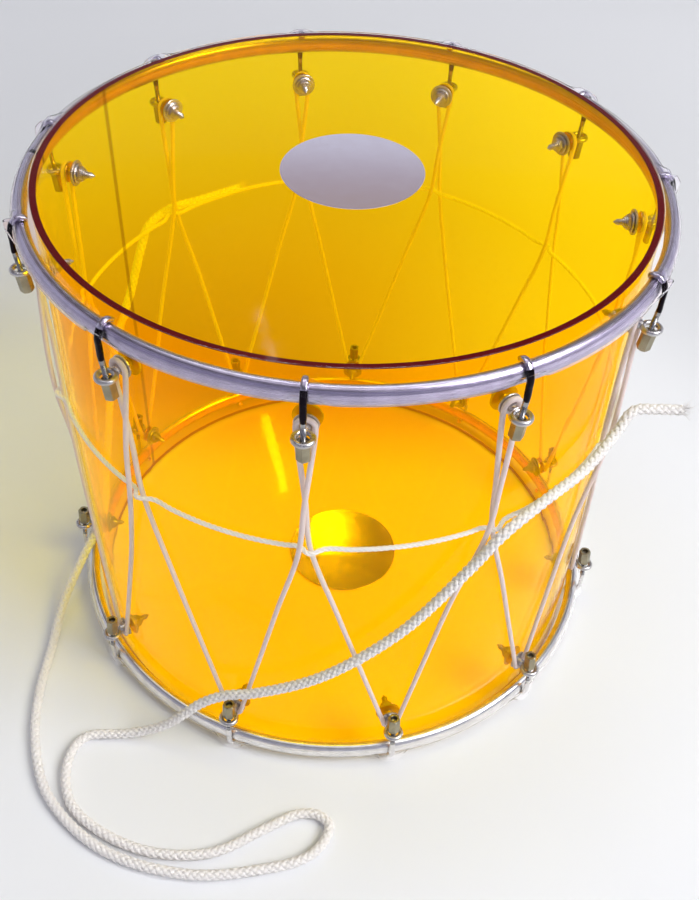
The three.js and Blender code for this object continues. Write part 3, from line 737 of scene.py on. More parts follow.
def waist_route(sizes):
    """Ring that dips under the first strand of every pair and rises over the second."""
    wall = TUBE_RADIUS + GAP + sizes.cord / 2
    half = PAIR_SPACING / 2
    edge = (half + WEAVE_RUN) / wall
    spans = edge + (PITCH - 2 * edge) * np.linspace(0, 1, 7)
    points = []
    for azimuth in ENDS["top"].azimuths:
        points += [
            polar(np.array([wall, wall + WEAVE_LIFT]), azimuth, waist_height(azimuth),
                  np.array([-half, half])),
            polar(wall, azimuth + spans, waist_height(azimuth + spans)),
        ]
    return curve_through(np.concatenate(points), 12, closed=True)


def waist_surface(sizes):
    """Waist cord laid from three strands along its ring."""
    path, at = evenly(waist_route(sizes), WAIST_STEP, closed=True)
    turns = round(at[-1] / (WAIST_LAY * sizes.cord))
    place, width, height = (
        k * sizes.cord for k in (WAIST_STRAND_PLACE, WAIST_STRAND_WIDTH, WAIST_STRAND_HEIGHT))
    return laid_strands(path, at, True, 3, place, turns, width, height, 7)


def strap_route():
    """The strap's listed points as one smooth curve."""
    turn, standoff, height = STRAP_ROUTE.T
    return curve_through(polar(TUBE_RADIUS + standoff, np.radians(turn), height), 24)


def laid_strands(path, at, closed, strands, radius, turns, width, height, sides, sway=0.0):
    """Strands wound round a path: strand k turns by 2 pi (k / strands + turns s / length), at a
    distance radius + sway cos(8 pi s / lay) that weaves it over and under its neighbours."""
    side, other = carried_sides(path, closed)
    length = at[-1] + (at[1] - at[0] if closed else 0)
    surfaces = []
    for k in range(strands):
        turn = 2 * np.pi * (k / strands + turns * at / length)[:, None]
        weave = np.sign(turns) * sway * np.cos(8 * np.pi * abs(turns) * at / length)[:, None]
        outward = np.cos(turn) * side + np.sin(turn) * other
        line = path + (radius + weave) * outward
        along = tangents(line, closed)
        across = unit(np.cross(along, outward))
        section = circle(1.0, sides) / 2 * [width, height]
        surfaces.append(tube(line, across, np.cross(across, along), section, closed, length))
    return joined(surfaces)


def braid_surface(path, at, diameter):
    """Eight-strand round braid: four strands wind one way and four the other, each weaving over
    and under the others once every eighth of a lay."""
    turns = round(at[-1] / (BRAID_LAY * diameter))
    width, height, sway = (
        k * diameter for k in (BRAID_STRAND_WIDTH, BRAID_STRAND_HEIGHT, BRAID_SWAY))
    radius = diameter / 2 - height / 2 - sway
    return joined([
        laid_strands(path, at, False, 4, radius, way * turns, width, height, 6, sway)
        for way in (1, -1)])


def tail_surface(path, diameter, seed):
    """Loose fibres at the end of a path: each leaves the last point along the path and spreads
    with the square of its distance."""
    rng = np.random.default_rng(seed)
    count, steps = FIBRE_COUNT, 6
    side, other = carried_sides(path)
    forward = tangents(path)[-1]
    turn = rng.uniform(0, 2 * np.pi, count)[:, None, None]
    start = diameter * FIBRE_PLACE * np.sqrt(rng.uniform(0, 1, count))[:, None, None]
    reach = rng.uniform(*FIBRE_REACH, count)[:, None, None] * diameter
    bend = rng.normal(0, FIBRE_SPREAD, count)[:, None, None]
    t = np.linspace(-0.6, 1, steps)[None, :, None]
    out = np.cos(turn) * side[-1] + np.sin(turn) * other[-1]
    spread = start + np.clip(t, 0, None) ** 2 * diameter * (FIBRE_SPREAD + bend)
    line = path[-1] + forward * reach * t + out * spread
    thin = FIBRE_RADIUS * (1.2 - np.clip(t, 0, 1))
    corner = full_turn(3)
    ring = np.cos(corner)[:, None] * side[-1] + np.sin(corner)[:, None] * other[-1]
    points = line[:, :, None] + thin[..., None] * ring
    ends = [line[:, k, None, None].repeat(len(corner), 2) for k in (0, -1)]
    points = np.concatenate([ends[0], points, ends[1]], 1)
    return joined([grid(fibre) for fibre in points])


# Materials


def feed(tree, node, inputs):
    """Sets a node's inputs: a socket is linked, and anything else is its value."""
    for key, value in inputs.items():
        if isinstance(value, bpy.types.NodeSocket):
            tree.links.new(value, node.inputs[key])
        else:
            node.inputs[key].default_value = value


def add(tree, kind, inputs=None, **settings):
    """New shader node with its settings and inputs."""
    node = tree.nodes.new("ShaderNode" + kind)
    for key, value in settings.items():
        setattr(node, key, value)
    feed(tree, node, inputs or {})
    return node


def sums(tree, operation, first, second=0.0, third=0.5):
    """Result of a Math node; only a node that multiplies and adds takes the third value."""
    return add(tree, "Math", {0: first, 1: second, 2: third}, operation=operation).outputs[0]


def blend(tree, share, first, second):
    """Colour between two colours."""
    node = add(tree, "Mix", data_type="RGBA")
    feed(tree, node, {0: share, 6: first, 7: second})
    return node.outputs[2]


def between(tree, value, low, high, to_low=0.0, to_high=1.0):
    """Value carried smoothly from one range to another and held at its ends."""
    node = add(tree, "MapRange", interpolation_type="SMOOTHSTEP")
    feed(tree, node, {0: value, 1: low, 2: high, 3: to_low, 4: to_high})
    return node.outputs[0]


def place_on(tree, chart="Object"):
    """Place on a piece: metres in the drum's frame, or the map of its surface."""
    return add(tree, "TexCoord").outputs[chart]


def noise(tree, vector, scale, detail):
    """Value of a noise texture."""
    return add(tree, "TexNoise", {"Vector": vector, "Scale": scale, "Detail": detail}).outputs[0]


def length_of(tree, vector):
    """Length of a vector."""
    return add(tree, "VectorMath", {0: vector}, operation="LENGTH").outputs["Value"]


def bumped(tree, height, strength, distance):
    """Normal that follows a height."""
    node = add(tree, "Bump", {"Strength": strength, "Distance": distance, "Height": height})
    return node.outputs[0]


def node_group(name, takes, gives):
    """Empty shader node group with its sockets: (label, type, default) and (label, type)."""
    tree = bpy.data.node_groups.new(name, "ShaderNodeTree")
    for label, kind, default in takes:
        socket = tree.interface.new_socket(label, in_out="INPUT", socket_type="NodeSocket" + kind)
        if default is not None:
            socket.default_value = default
    for label, kind in gives:
        tree.interface.new_socket(label, in_out="OUTPUT", socket_type="NodeSocket" + kind)
    return tree, tree.nodes.new("NodeGroupInput").outputs, tree.nodes.new("NodeGroupOutput")


def use_group(tree, make, inputs):
    """Outputs of a shared group, made at its first use, placed in a material with its own values."""
    node = tree.nodes.new("ShaderNodeGroup")
    node.node_tree = bpy.data.node_groups.get(make.__name__) or make()
    feed(tree, node, inputs)
    return node.outputs


def handling_marks():
    """Marks of use on metal and foil: fine grain, and broad smudges from hands."""
    tree, takes, gives = node_group(
        "handling_marks", [("Vector", "Vector", None), ("Grain", "Float", 2500.0)],
        [("Smudge", "Float"), ("Grain", "Float")])
    smudge = noise(tree, takes["Vector"], 140.0, 4.0)
    grain = noise(tree, takes["Vector"], takes["Grain"], 3.0)
    feed(tree, gives, {"Smudge": between(tree, smudge, 0.35, 0.7), "Grain": grain})
    return tree


def yarn_lines():
    """Yarn along a strand: lines that run round it at a slant, and slow changes of shade. The
    map's u is the distance along and v the share of the way round."""
    tree, takes, gives = node_group(
        "yarn_lines",
        [("Vector", "Vector", None), ("Lines", "Float", 9.0), ("Slant", "Float", 300.0)],
        [("Height", "Float"), ("Shade", "Float")])
    parts = add(tree, "SeparateXYZ", {0: takes["Vector"]}).outputs
    across = sums(tree, "MULTIPLY", parts[1], takes["Lines"])
    along = sums(tree, "MULTIPLY", parts[0], takes["Slant"])
    wave = sums(tree, "SINE", sums(tree, "MULTIPLY", sums(tree, "ADD", across, along), 2 * math.pi))
    feed(tree, gives, {"Height": sums(tree, "MULTIPLY_ADD", wave, 0.5, 0.5),
                       "Shade": noise(tree, takes["Vector"], 60.0, 5.0)})
    return tree


def sheet_swell():
    """Slow swell of a rolled sheet, as a height."""
    tree, takes, gives = node_group(
        "sheet_swell", [("Vector", "Vector", None), ("Scale", "Float", 9.0)], [("Height", "Float")])
    feed(tree, gives, {"Height": noise(tree, takes["Vector"], takes["Scale"], 1.5)})
    return tree


def fresh(name):
    """New material, its node tree and its Principled shader."""
    material = bpy.data.materials.new(name)
    material.use_nodes = True
    return material, material.node_tree, material.node_tree.nodes["Principled BSDF"]


def mix_in(tree, shader, other, share):
    """Surface made of a shader and a share of another one."""
    mix = add(tree, "MixShader", {0: share, 1: shader.outputs[0], 2: other.outputs[0]})
    tree.links.new(mix.outputs[0], tree.nodes["Material Output"].inputs["Surface"])


def let_light_through(tree, shader, colour):
    """Lets lamps and bounced light pass a clear sheet, tinted, so that it lights what it covers."""
    path = add(tree, "LightPath").outputs
    share = sums(tree, "MAXIMUM", path["Is Shadow Ray"], path["Is Diffuse Ray"])
    mix_in(tree, shader, add(tree, "BsdfTransparent", {"Color": colour}), share)


def rgba(colour, share=1.0):
    """Colour with full alpha, as it is or a share of it."""
    return (*(share * c for c in colour), 1.0)


def amber_material(colours, wall):
    """Polished acrylic: clear, tinted, a little wavy, with the dark line of its bonded seam on its outer
    face, and a faint painted amber glow."""
    material, tree, shader = fresh("amber_acrylic")
    place = place_on(tree)
    parts = add(tree, "SeparateXYZ", {0: place}).outputs
    turn = sums(tree, "ARCTAN2", parts[1], parts[0])
    off = sums(tree, "ABSOLUTE", sums(tree, "SUBTRACT", turn, math.radians(SEAM_DEGREES)))
    beside = sums(tree, "MULTIPLY", off, TUBE_RADIUS)
    line = between(tree, beside, SEAM_WIDTH / 3, SEAM_WIDTH, 1.0, 0.0)
    radius = length_of(tree, add(tree, "CombineXYZ", {0: parts[0], 1: parts[1]}).outputs[0])
    outside = sums(tree, "GREATER_THAN", radius, TUBE_RADIUS - wall / 2)
    seam = sums(tree, "MULTIPLY", line, outside)
    swell = use_group(tree, sheet_swell, {"Vector": place, "Scale": 7.0})
    feed(tree, shader, {
        "Base Color": blend(tree, seam, rgba(colours.amber), rgba(colours.seam)),
        "Roughness": 0.03, "IOR": 1.1, "Transmission Weight": 1.0,
        "Normal": bumped(tree, swell[0], 0.25, 0.0004),
        "Emission Color": rgba(colours.amber_glow), "Emission Strength": AMBER_PAINTED_GLOW})
    tint = [c ** AMBER_SHADOW_TINT for c in colours.amber]
    let_light_through(tree, shader, rgba(tint, AMBER_SHADOW))
    return material


def cut_edge_material(colours):
    """Sawn edge of the acrylic: dark red where it is seen along the sheet, amber brown towards the foot,
    a painted glow where the paper lights it."""
    material, tree, shader = fresh("acrylic_cut_edge")
    place = place_on(tree)
    grain = use_group(tree, handling_marks, {"Vector": place, "Grain": 900.0})["Grain"]
    height = add(tree, "SeparateXYZ", {0: place}).outputs[2]
    # Painted glow from the paper: the edge turns amber brown towards the foot
    foot = between(tree, height, TUBE_LOW.z, TUBE_HIGH.z, 1.0, 0.0)
    red = blend(tree, grain, rgba(colours.cut_edge), rgba(colours.cut_edge, 1.2))
    feed(tree, shader, {
        "Base Color": blend(tree, foot, red, rgba(colours.foot)),
        "Roughness": between(tree, grain, 0.2, 0.8, 0.3, 0.4), "Specular IOR Level": 0.08})
    return material


def film_material(name, colour, bending, smooth, rough):
    """Clear glossy film with the faint swell of a stretched sheet, rougher where it is smudged."""
    material, tree, shader = fresh(name)
    place = place_on(tree)
    swell = use_group(tree, sheet_swell, {"Vector": place, "Scale": 16.0})
    smudge = use_group(tree, handling_marks, {"Vector": place})["Smudge"]
    feed(tree, shader, {
        "Base Color": rgba(colour), "IOR": bending, "Transmission Weight": 1.0,
        "Roughness": between(tree, smudge, 0.0, 1.0, smooth, rough),
        "Normal": bumped(tree, swell[0], 0.2, 0.0003)})
    let_light_through(tree, shader, rgba(colour))
    return material


def metal_material(name, colour, worn, smooth, rough, grain):
    """Metal whose gloss changes with grain and smudges. Where it is handled, its colour is the
    worn share of what it is elsewhere."""
    material, tree, shader = fresh(name)
    marks = use_group(tree, handling_marks, {"Vector": place_on(tree), "Grain": grain})
    mixed = sums(tree, "MULTIPLY_ADD", marks["Smudge"], 0.5,
                 sums(tree, "MULTIPLY", marks["Grain"], 0.5))
    feed(tree, shader, {
        "Base Color": blend(tree, marks["Smudge"], rgba(colour), rgba(colour, worn)),
        "Metallic": 1.0, "Roughness": between(tree, mixed, 0.1, 0.9, smooth, rough),
        "Normal": bumped(tree, marks["Grain"], 0.12, 0.00008)})
    return material


def hoop_material(name, colour):
    """Drawn hoop: fine lines run along it, on the map's u, with handling marks over them."""
    material, tree, shader = fresh(name)
    drawn = add(tree, "Mapping", {0: place_on(tree, "UV"), 3: (6.0, 130.0, 1.0)})
    lines = noise(tree, drawn.outputs[0], 1.0, 3.0)
    smudge = use_group(tree, handling_marks, {"Vector": place_on(tree)})["Smudge"]
    feed(tree, shader, {
        "Base Color": blend(tree, smudge, rgba(colour), rgba(colour, 0.86)),
        "Metallic": 1.0, "Roughness": between(tree, lines, 0.3, 0.7, 0.2, 0.34),
        "Normal": bumped(tree, lines, 0.2, 0.00006)})
    return material


def foil_material(name, colour, metallic, smooth, rough):
    """Silver patch with a fine sparkle."""
    material, tree, shader = fresh(name)
    marks = use_group(tree, handling_marks, {"Vector": place_on(tree), "Grain": 2600.0})
    sparkle = between(tree, marks["Grain"], 0.3, 0.7)
    feed(tree, shader, {
        "Base Color": blend(tree, sparkle, rgba(colour, 0.86), rgba(colour)), "Metallic": metallic,
        "Roughness": between(tree, marks["Smudge"], 0.0, 1.0, smooth, rough),
        "Normal": bumped(tree, marks["Grain"], 0.15, 0.00004)})
    return material


def cord_material(name, colour, lines, slant, depth, shine_through):
    """White synthetic yarn: slanting filaments, a soft sheen and slow changes of tone. A share of the
    light that falls on it shines through, and seen through clear pieces it gives off a painted glow."""
    material, tree, shader = fresh(name)
    yarn = use_group(tree, yarn_lines, {
        "Vector": place_on(tree, "UV"), "Lines": lines, "Slant": slant})
    normal = bumped(tree, yarn["Height"], 0.6, depth)
    shade = between(tree, yarn["Shade"], 0.3, 0.7)
    seen_through = add(tree, "LightPath").outputs["Is Transmission Ray"]
    feed(tree, shader, {
        "Base Color": blend(tree, shade, rgba(colour, 0.9), rgba(colour)),
        "Roughness": between(tree, yarn["Height"], 0.0, 1.0, 0.72, 0.55),
        "Sheen Weight": 0.25, "Sheen Roughness": 0.4, "Normal": normal,
        "Emission Color": rgba(colour),
        "Emission Strength": sums(tree, "MULTIPLY", seen_through, CORD_PAINTED_GLOW)})
    through = add(tree, "BsdfTranslucent", {"Color": rgba(colour), "Normal": normal})
    mix_in(tree, shader, through, shine_through)
    return material


def floor_material(colours):
    """Pale paper with a slight change of tone and a painted shade in a ring at some distance, where the
    light falls off. Clear pieces see a painted glow on it under the drum and on the lit side, and a
    painted amber shadow behind the drum."""
    material, tree, shader = fresh("pale_paper")
    place = place_on(tree)
    seen_through = add(tree, "LightPath").outputs["Is Transmission Ray"]
    paper = blend(tree, noise(tree, place, 1.2, 2.0), rgba(colours.floor), rgba(colours.floor, 0.96))
    reach = length_of(tree, place)
    # Painted shade: the paper is darker in a ring where the light falls off
    falloff_shade = sums(tree, "MULTIPLY", between(tree, reach, *FALLOFF_SHADE_START),
                between(tree, reach, *FALLOFF_SHADE_END, 1.0, 0.1))
    paper = blend(tree, falloff_shade, paper, rgba(colours.floor, 0.83))
    under = between(tree, reach, *UNDER_EDGE, 1.0, 0.0)
    parts = add(tree, "SeparateXYZ", {0: place}).outputs
    # Painted glow, seen only through clear pieces: under the drum and on the lit side
    glow = sums(tree, "MAXIMUM", sums(tree, "MULTIPLY", under, UNDER_GLOW),
                between(tree, parts[0], *LIT_SIDE, *LIT_SIDE_GLOW))
    # Painted amber shadow behind the drum, weaker on the right, seen only through clear pieces
    behind = sums(tree, "MULTIPLY", between(tree, parts[1], *SHADE_START),
                  between(tree, reach, *SHADE_END, 1.0, 0.0))
    shade = sums(tree, "MULTIPLY", behind, between(tree, parts[0], *SHADE_SIDE, 1.0, 0.3))
    shade = sums(tree, "MULTIPLY", shade, seen_through)
    feed(tree, shader, {
        "Base Color": blend(tree, shade, paper, rgba(colours.floor_shade)),
        "Roughness": 0.7, "Specular IOR Level": 0.2,
        "Emission Color": blend(tree, under, (1.0, 1.0, 1.0, 1.0), rgba(colours.floor_glow)),
        "Emission Strength": sums(tree, "MULTIPLY", seen_through, glow)})
    return material


# Settings


def length_setting(name, description, default):
    """Length that a user may change."""
    return FloatProperty(name=name, description=description, default=default, min=0.0,
                         subtype="DISTANCE", unit="LENGTH", precision=4)


def colour_setting(name, description, default):
    """Colour that a user may change."""
    return FloatVectorProperty(name=name, description=description, default=default, size=3,
                               min=0.0, max=1.0, subtype="COLOR")


class DrumSizes(bpy.types.PropertyGroup):
    """Sizes of the drum's pieces"""

    wall: length_setting("Wall", "Thickness of the acrylic tube", 0.0035)
    film: length_setting("Film", "Thickness of a head's film", 0.0005)
    hoop_width: length_setting("Hoop width", "Width of the hoop's oval section", 0.0076)
    hoop_height: length_setting("Hoop height", "Height of the hoop's oval section", 0.0108)
    hoop_standoff: length_setting("Hoop standoff", "Room between the tube and a hoop", 0.0022)
    hoop_drop: length_setting("Hoop drop", "Depth of a hoop below the tube's edge", 0.0042)
    hook_width: length_setting("Hook width", "Width of a hook's strap", 0.0034)
    hook_thickness: length_setting("Hook thickness", "Thickness of a hook's strap", 0.0026)
    rod_diameter: length_setting("Rod", "Diameter of a hook's threaded rod", 0.003)
    eye_outer: length_setting("Eye", "Outer diameter of a bolt's eye", 0.0118)
    eye_wire: length_setting("Eye wire", "Diameter of the eye's wire", 0.0029)
    nut_flats: length_setting("Nut flats", "Width of a tube nut across its flats", 0.0066)
    nut_length: length_setting("Nut length", "Length of a tube nut", 0.011)
    cord: length_setting("Cord", "Diameter of the lacing and the waist cord", 0.0028)
    strap: length_setting("Strap", "Diameter of the carrying strap", 0.0065)


class DrumColours(bpy.types.PropertyGroup):
    """Colours of the drum's finishes"""

    amber: colour_setting("Amber", "What one wall of the acrylic lets through", (1.0, 0.7, 0.003))
    # Painted glow: the acrylic gives off light though it is no lamp
    amber_glow: colour_setting("Amber glow", "Light that the acrylic gives off", (1.0, 0.46, 0.0))
    seam: colour_setting("Seam", "What the bonded seam lets through", (0.3, 0.16, 0.002))
    cut_edge: colour_setting("Cut edge", "Sawn edge of the acrylic", (0.085, 0.001, 0.002))
    # Painted glow of the paper's light on the cut edge's foot
    foot: colour_setting("Foot", "Sawn edge of the acrylic at the foot", (0.42, 0.15, 0.004))
    film: colour_setting("Film", "What a head's film lets through", (0.99, 0.99, 0.99))
    fold: colour_setting("Fold", "What the film lets through where it is folded", (0.95, 0.93, 0.97))
    foil: colour_setting("Foil", "Centre patches", (0.78, 0.74, 0.84))
    # One metal in two colours: the upper hoop's is a painted shade and the lower hoop's a painted light
    hoop: colour_setting("Hoop", "Upper hoop and the bends of its hooks", (0.54, 0.5, 0.61))
    low_hoop: colour_setting("Low hoop", "Lower hoop and its hooks", (0.84, 0.82, 0.82))
    bright: colour_setting("Bright steel", "Eye bolts and their washers", (0.6, 0.58, 0.58))
    inner_steel: colour_setting("Inner steel", "Nuts and washers inside the tube", (0.56, 0.5, 0.46))
    # Painted shade of the upper hooks' hanging straps, also the dark sleeve in the hoops' joints
    strap_steel: colour_setting("Hook straps", "Dark straps of the hooks", (0.01, 0.007, 0.01))
    rod_steel: colour_setting("Hook rods", "Threaded rods of the hooks", (0.36, 0.36, 0.37))
    zinc: colour_setting("Zinc", "Tube nuts", (0.38, 0.34, 0.24))
    cord: colour_setting("Cord", "Lacing", (0.9, 0.79, 0.78))
    strap: colour_setting("Strap", "Carrying strap and waist cord", (0.97, 0.94, 0.93))
    # Painted glow on the paper under the drum and painted amber shadow behind it, both seen only through
    # clear pieces
    floor_glow: colour_setting("Floor glow", "Light on the paper under the drum", (1.0, 0.2, 0.02))
    floor_shade: colour_setting("Floor shade", "Paper seen through the drum", (0.55, 0.33, 0.25))
    floor: colour_setting("Floor", "Paper that the drum stands on", (0.86, 0.87, 0.9))


# Operators


def chosen(context):
    """Sizes and colours that are set for the drum."""
    return context.scene.drum_sizes, context.scene.drum_colours


class DRUM_OT_stage(bpy.types.Operator):
    """Camera of the photograph, pale floor and soft light"""

    bl_idname = "drum.stage"
    bl_label = "Stage"

    def execute(self, context):
        scene = context.scene
        scene.view_settings.view_transform = "Standard"
        self.make_camera(scene)
        self.make_floor(scene)
        self.make_lights(scene)
        self.make_world(scene)
        return {"FINISHED"}

    def make_camera(self, scene):
        """Camera turned by its yaw, tilted down by its pitch and leaned by its roll."""
        pitch, yaw, roll = CAMERA_PITCH, CAMERA_YAW, CAMERA_ROLL
        ahead = np.array([
            math.sin(yaw) * math.cos(pitch), math.cos(yaw) * math.cos(pitch), -math.sin(pitch)])
        level = np.array([math.cos(yaw), -math.sin(yaw), 0.0])
        upright = np.cross(level, ahead)
        right = math.cos(roll) * level + math.sin(roll) * upright
        up = math.cos(roll) * upright - math.sin(roll) * level
        data = bpy.data.cameras.new("photo_camera")
        data.lens = CAMERA_LENS_MM
        data.clip_start, data.clip_end = 0.01, 50.0
        camera = bpy.data.objects.new("photo_camera", data)
        axes = np.eye(4)
        axes[:3, :4] = np.stack([right, up, -ahead, np.array(CAMERA_PLACE)], -1)
        camera.matrix_world = Matrix(axes.tolist())
        scene.collection.objects.link(camera)
        scene.camera = camera

    def make_floor(self, scene):
        """Round sheet of paper under the drum."""
        rings = np.array(FLOOR_RINGS)[:, None]
        points, faces, _, _ = grid(polar(rings, full_turn(64)[None], -GAP))
        mesh = bpy.data.meshes.new("floor")
        mesh.from_pydata(points.tolist(), [], faces[:, ::-1].tolist())
        mesh.materials.append(floor_material(scene.drum_colours))
        floor = bpy.data.objects.new("floor", mesh)
        scene.collection.objects.link(floor)

    def make_lights(self, scene):
        """Broad soft lamp at the front right, a long ceiling lamp, and two far lights high at the
        back, one that sparkles in the lower head and one in its patch."""
        for name, place, across, size, power in LAMPS:
            data = bpy.data.lights.new(name, "AREA")
            data.shape = "RECTANGLE"
            data.size, data.size_y = size
            data.energy = power
            lamp = bpy.data.objects.new(name, data)
            back = Vector(place) - Vector(LAMP_TARGET)
            back.normalize()
            side = (Vector(across) - back * back.dot(Vector(across))).normalized()
            axes = Matrix((side, back.cross(side), back)).transposed().to_4x4()
            axes.translation = place
            lamp.matrix_world = axes
            scene.collection.objects.link(lamp)

    def make_world(self, scene):
        """Even light for surfaces; for gloss, a room with a banded back wall, a plain front wall, a
        dim upper part and a bright ceiling."""
        world = bpy.data.worlds.new("soft_room")
        world.use_nodes = True
        tree = world.node_tree
        path = add(tree, "LightPath").outputs
        way = add(tree, "SeparateXYZ", {0: place_on(tree, "Generated")}).outputs
        height = way[2]
        back_wall = rgba(BACK_WALL)
        for low, high, tone in BACK_WALL_BANDS:
            back_wall = blend(tree, between(tree, height, low, high), back_wall, rgba(tone))
        front_wall = blend(
            tree, between(tree, height, *FRONT_WALL_TOP), rgba(FRONT_WALL), rgba(DIM_ROOM))
        wall = blend(tree, between(tree, way[1], *FRONT_WALL_START), back_wall, front_wall)
        room = blend(tree, between(tree, height, *CEILING_START), wall, rgba(CEILING))
        seen = blend(tree, path["Is Camera Ray"], room, rgba(BACKGROUND))
        colour = blend(tree, path["Is Diffuse Ray"], seen, rgba(EVEN_LIGHT))
        tree.links.new(colour, tree.nodes["Background"].inputs["Color"])
        scene.world = world


class DRUM_OT_strap(bpy.types.Operator):
    """Braided carrying strap with its frayed tails"""

    bl_idname = "drum.strap"
    bl_label = "Carrying strap"

    def execute(self, context):
        sizes, colours = chosen(context)
        material = cord_material("braided_rope", colours.strap, lines=7.0, slant=120.0,
                                 depth=0.00012, shine_through=0.15)
        path, at = evenly(strap_route(), STRAP_STEP)
        strap = finish_piece("carrying_rope", braid_surface(path, at, sizes.strap), [material],
                             replaced=("carrying_strap",), sharp=80.0)
        for name, line, seed in (("rope_tail_front", path[::-1], 3), ("rope_tail_back", path, 5)):
            surface = tail_surface(line[-TAIL_POINTS:], sizes.strap, seed)
            finish_piece(name, surface, [material], sharp=180.0)
        return {"FINISHED"}


class DRUM_OT_lacing(bpy.types.Operator):
    """Zigzag lacing and the twisted waist cord"""

    bl_idname = "drum.lacing"
    bl_label = "Lacing and waist cord"

    def execute(self, context):
        sizes, colours = chosen(context)
        smooth = cord_material("smooth_cord", colours.cord, lines=14.0, slant=260.0,
                               depth=0.00006, shine_through=0.3)
        path, at = evenly(lacing_route(sizes), LACING_STEP, closed=True)
        side, other = carried_sides(path, closed=True)
        surface = tube(path, side, other, circle(sizes.cord / 2, 12), True, float(at[-1]))
        finish_piece("lacing", surface, [smooth],
                     replaced=("lacing_cord",), sharp=80.0)
        twisted = cord_material("twisted_cord", colours.strap, lines=6.0, slant=200.0,
                                depth=0.00006, shine_through=0.3)
        finish_piece("waist_line", waist_surface(sizes), [twisted],
                     replaced=("waist_cord",), sharp=80.0)
        return {"FINISHED"}


class DRUM_OT_tube(bpy.types.Operator):
    """Amber acrylic tube with its holes, cut edges and seam"""

    bl_idname = "drum.tube"
    bl_label = "Amber tube"

    def execute(self, context):
        sizes, colours = chosen(context)
        materials = [amber_material(colours, sizes.wall), cut_edge_material(colours)]
        finish_piece("amber_tube", tube_surface(sizes.wall), materials,
                     replaced=("shell",), sharp=30.0)
        return {"FINISHED"}


class DRUM_OT_heads(bpy.types.Operator):
    """Clear film heads and their centre patches"""

    bl_idname = "drum.heads"
    bl_label = "Heads"

    def execute(self, context):
        sizes, colours = chosen(context)
        edge, top_fold, low_fold, top_clear, low_clear = (
            film_material(name, colour, bending, smooth, rough)
            for name, colour, bending, smooth, rough in (
                ("film_edge", colours.film, 1.5, 0.03, 0.07),
                ("folded_film", colours.fold, 1.14, 0.05, 0.12),
                ("smooth_fold", colours.film, 1.03, 0.03, 0.07),
                ("clear_top_film", colours.film, 1.05, 0.015, 0.05),
                ("clear_low_film", colours.film, 1.25, 0.015, 0.05)))
        films = {"top": [top_clear, edge, top_fold], "bottom": [low_clear, edge, low_fold]}
        foils = {
            "top": foil_material("satin_foil", colours.foil, metallic=0.75, smooth=0.06, rough=0.09),
            "bottom": foil_material("bright_foil", colours.foil, metallic=0.95, smooth=0.09, rough=0.12)}
        for end in ENDS.values():
            finish_piece(f"film_{end.name}", film_surface(end, sizes), films[end.name],
                         replaced=(f"head_film_{end.name}",), sharp=55.0)
            finish_piece(f"patch_{end.name}", dot_surface(end), [foils[end.name]],
                         replaced=(f"centre_dot_{end.name}",), sharp=20.0)
        return {"FINISHED"}


class DRUM_OT_hoops(bpy.types.Operator):
    """Hoops and the hooks that hang on them"""

    bl_idname = "drum.hoops"
    bl_label = "Hoops and hooks"

    def execute(self, context):
        sizes, colours = chosen(context)
        # Upper hoop and hook bends carry a painted shade, the lower hoop and hooks a painted light,
        # though all are one metal
        hoops = {"top": hoop_material("satin_hoop", colours.hoop),
                 "bottom": hoop_material("bright_hoop", colours.low_hoop)}
        dark, shaded_bend, bright, rod = (
            metal_material(name, colour, worn, smooth, rough, grain=2600.0)
            for name, colour, worn, smooth, rough in (
                ("dark_hook_strap", colours.strap_steel, 1.4, 0.2, 0.36),
                ("satin_hook", colours.hoop, 0.85, 0.18, 0.3),
                ("bright_hook", colours.low_hoop, 0.85, 0.18, 0.3),
                ("hook_rod", colours.rod_steel, 0.8, 0.18, 0.34)))
        # The upper straps hang in a painted shade; the lower hooks share the lower hoop's painted light
        finishes = {"top": [shaded_bend, dark, rod], "bottom": [bright, bright, rod]}
        for end in ENDS.values():
            finish_piece(f"hoop_{end.name}", hoop_surface(end, sizes),
                         [hoops[end.name], dark],
                         replaced=(f"hoop_with_hooks_{end.name}",))
            template = hook_template(end, sizes)
            hooks = joined([moved(template, at_station(end, k)) for k in range(STATIONS)])
            finish_piece(f"hooks_{end.name}", hooks, finishes[end.name])
        return {"FINISHED"}


class DRUM_OT_bolts(bpy.types.Operator):
    """Eye bolts with their washers, inner nuts and tips"""

    bl_idname = "drum.bolts"
    bl_label = "Eye bolts"

    def execute(self, context):
        sizes, colours = chosen(context)
        bright = metal_material("plated_steel", colours.bright, worn=0.85,
                                smooth=0.24, rough=0.38, grain=3000.0)
        dull = metal_material("dull_steel", colours.inner_steel, worn=0.8,
                              smooth=0.28, rough=0.42, grain=2400.0)
        for end in ENDS.values():
            template = bolt_template(end, sizes)
            for k, node in enumerate(end.bolts):
                finish_piece(node.replace("eye_bolt", "bolt"), moved(template, at_station(end, k)),
                             [bright, dull], replaced=(node,), sharp=35.0)
        return {"FINISHED"}


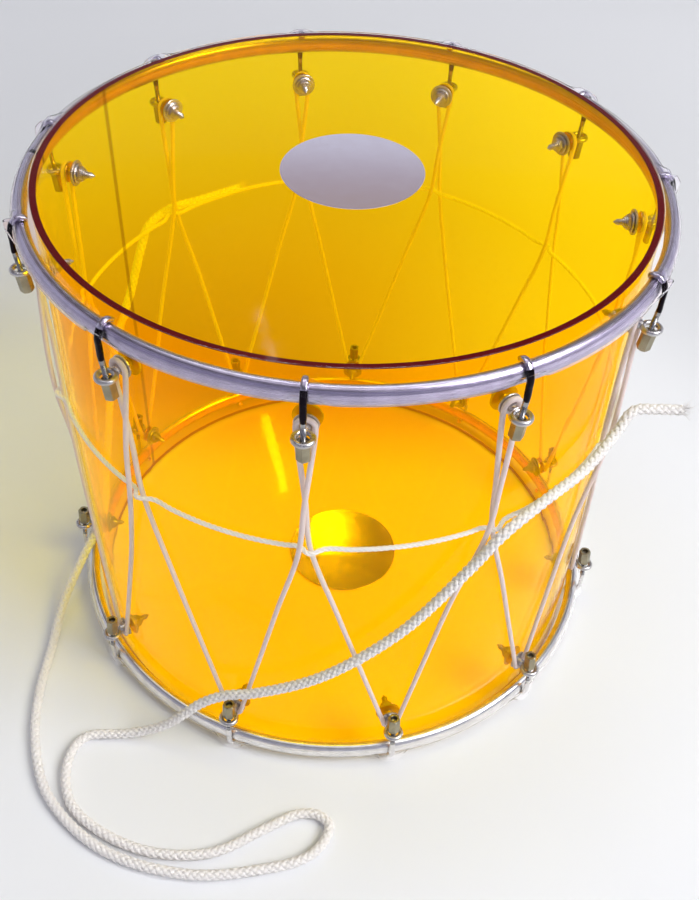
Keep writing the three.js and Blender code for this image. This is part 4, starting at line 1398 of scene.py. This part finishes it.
class DRUM_OT_nuts(bpy.types.Operator):
    """Hexagonal tube nuts, each on its own turning body"""

    bl_idname = "drum.nuts"
    bl_label = "Tube nuts"

    def execute(self, context):
        sizes, colours = chosen(context)
        zinc = metal_material("yellow_zinc", colours.zinc, worn=0.78,
                              smooth=0.26, rough=0.46, grain=2200.0)
        bore = sizes.rod_diameter / 2 / math.cos(math.pi / 6) + GAP
        for end in ENDS.values():
            start = nut_offset(end, sizes)
            template = hexagon(start, start + sizes.nut_length, sizes.nut_flats / 2, bore)
            for eye, rod, name in zip(end.eyes, end.rods, end.nuts):
                outward = unit(np.array([eye[0], eye[1], 0.0]))
                outward = unit(outward - rod * (outward @ rod))
                axes = np.stack([rod, outward, np.cross(rod, outward)])
                finish_piece(name.replace("tube_nut", "nut"),
                             moved(template, lambda p, e=eye, a=axes: e + p @ a),
                             [zinc], body=name, replaced=(name,), sharp=25.0)
        return {"FINISHED"}


class DRUM_PT_panel(bpy.types.Panel):
    """The drum's steps and settings in the sidebar"""

    bl_label = "Drum"
    bl_idname = "DRUM_PT_panel"
    bl_space_type = "VIEW_3D"
    bl_region_type = "UI"
    bl_category = "Drum"

    def draw(self, context):
        for step in STEPS:
            self.layout.operator(step.bl_idname)
        for settings in (context.scene.drum_sizes, context.scene.drum_colours):
            box = self.layout.box()
            for name in settings.__annotations__:
                box.prop(settings, name)


STEPS = (DRUM_OT_stage, DRUM_OT_strap, DRUM_OT_lacing, DRUM_OT_tube, DRUM_OT_heads,
         DRUM_OT_hoops, DRUM_OT_bolts, DRUM_OT_nuts)
CLASSES = (DrumSizes, DrumColours, *STEPS, DRUM_PT_panel)


def register():
    """Registers the classes and hangs the settings on the scene."""
    for cls in CLASSES:
        bpy.utils.register_class(cls)
    bpy.types.Scene.drum_sizes = PointerProperty(type=DrumSizes)
    bpy.types.Scene.drum_colours = PointerProperty(type=DrumColours)


def unregister():
    """Takes the settings and the classes away again."""
    del bpy.types.Scene.drum_colours
    del bpy.types.Scene.drum_sizes
    for cls in reversed(CLASSES):
        bpy.utils.unregister_class(cls)


def main():
    """Builds the drum step by step."""
    register()
    bpy.ops.drum.stage()
    bpy.ops.drum.strap()
    bpy.ops.drum.lacing()
    bpy.ops.drum.tube()
    bpy.ops.drum.heads()
    bpy.ops.drum.hoops()
    bpy.ops.drum.bolts()
    bpy.ops.drum.nuts()


if __name__ == "__main__":
    main()
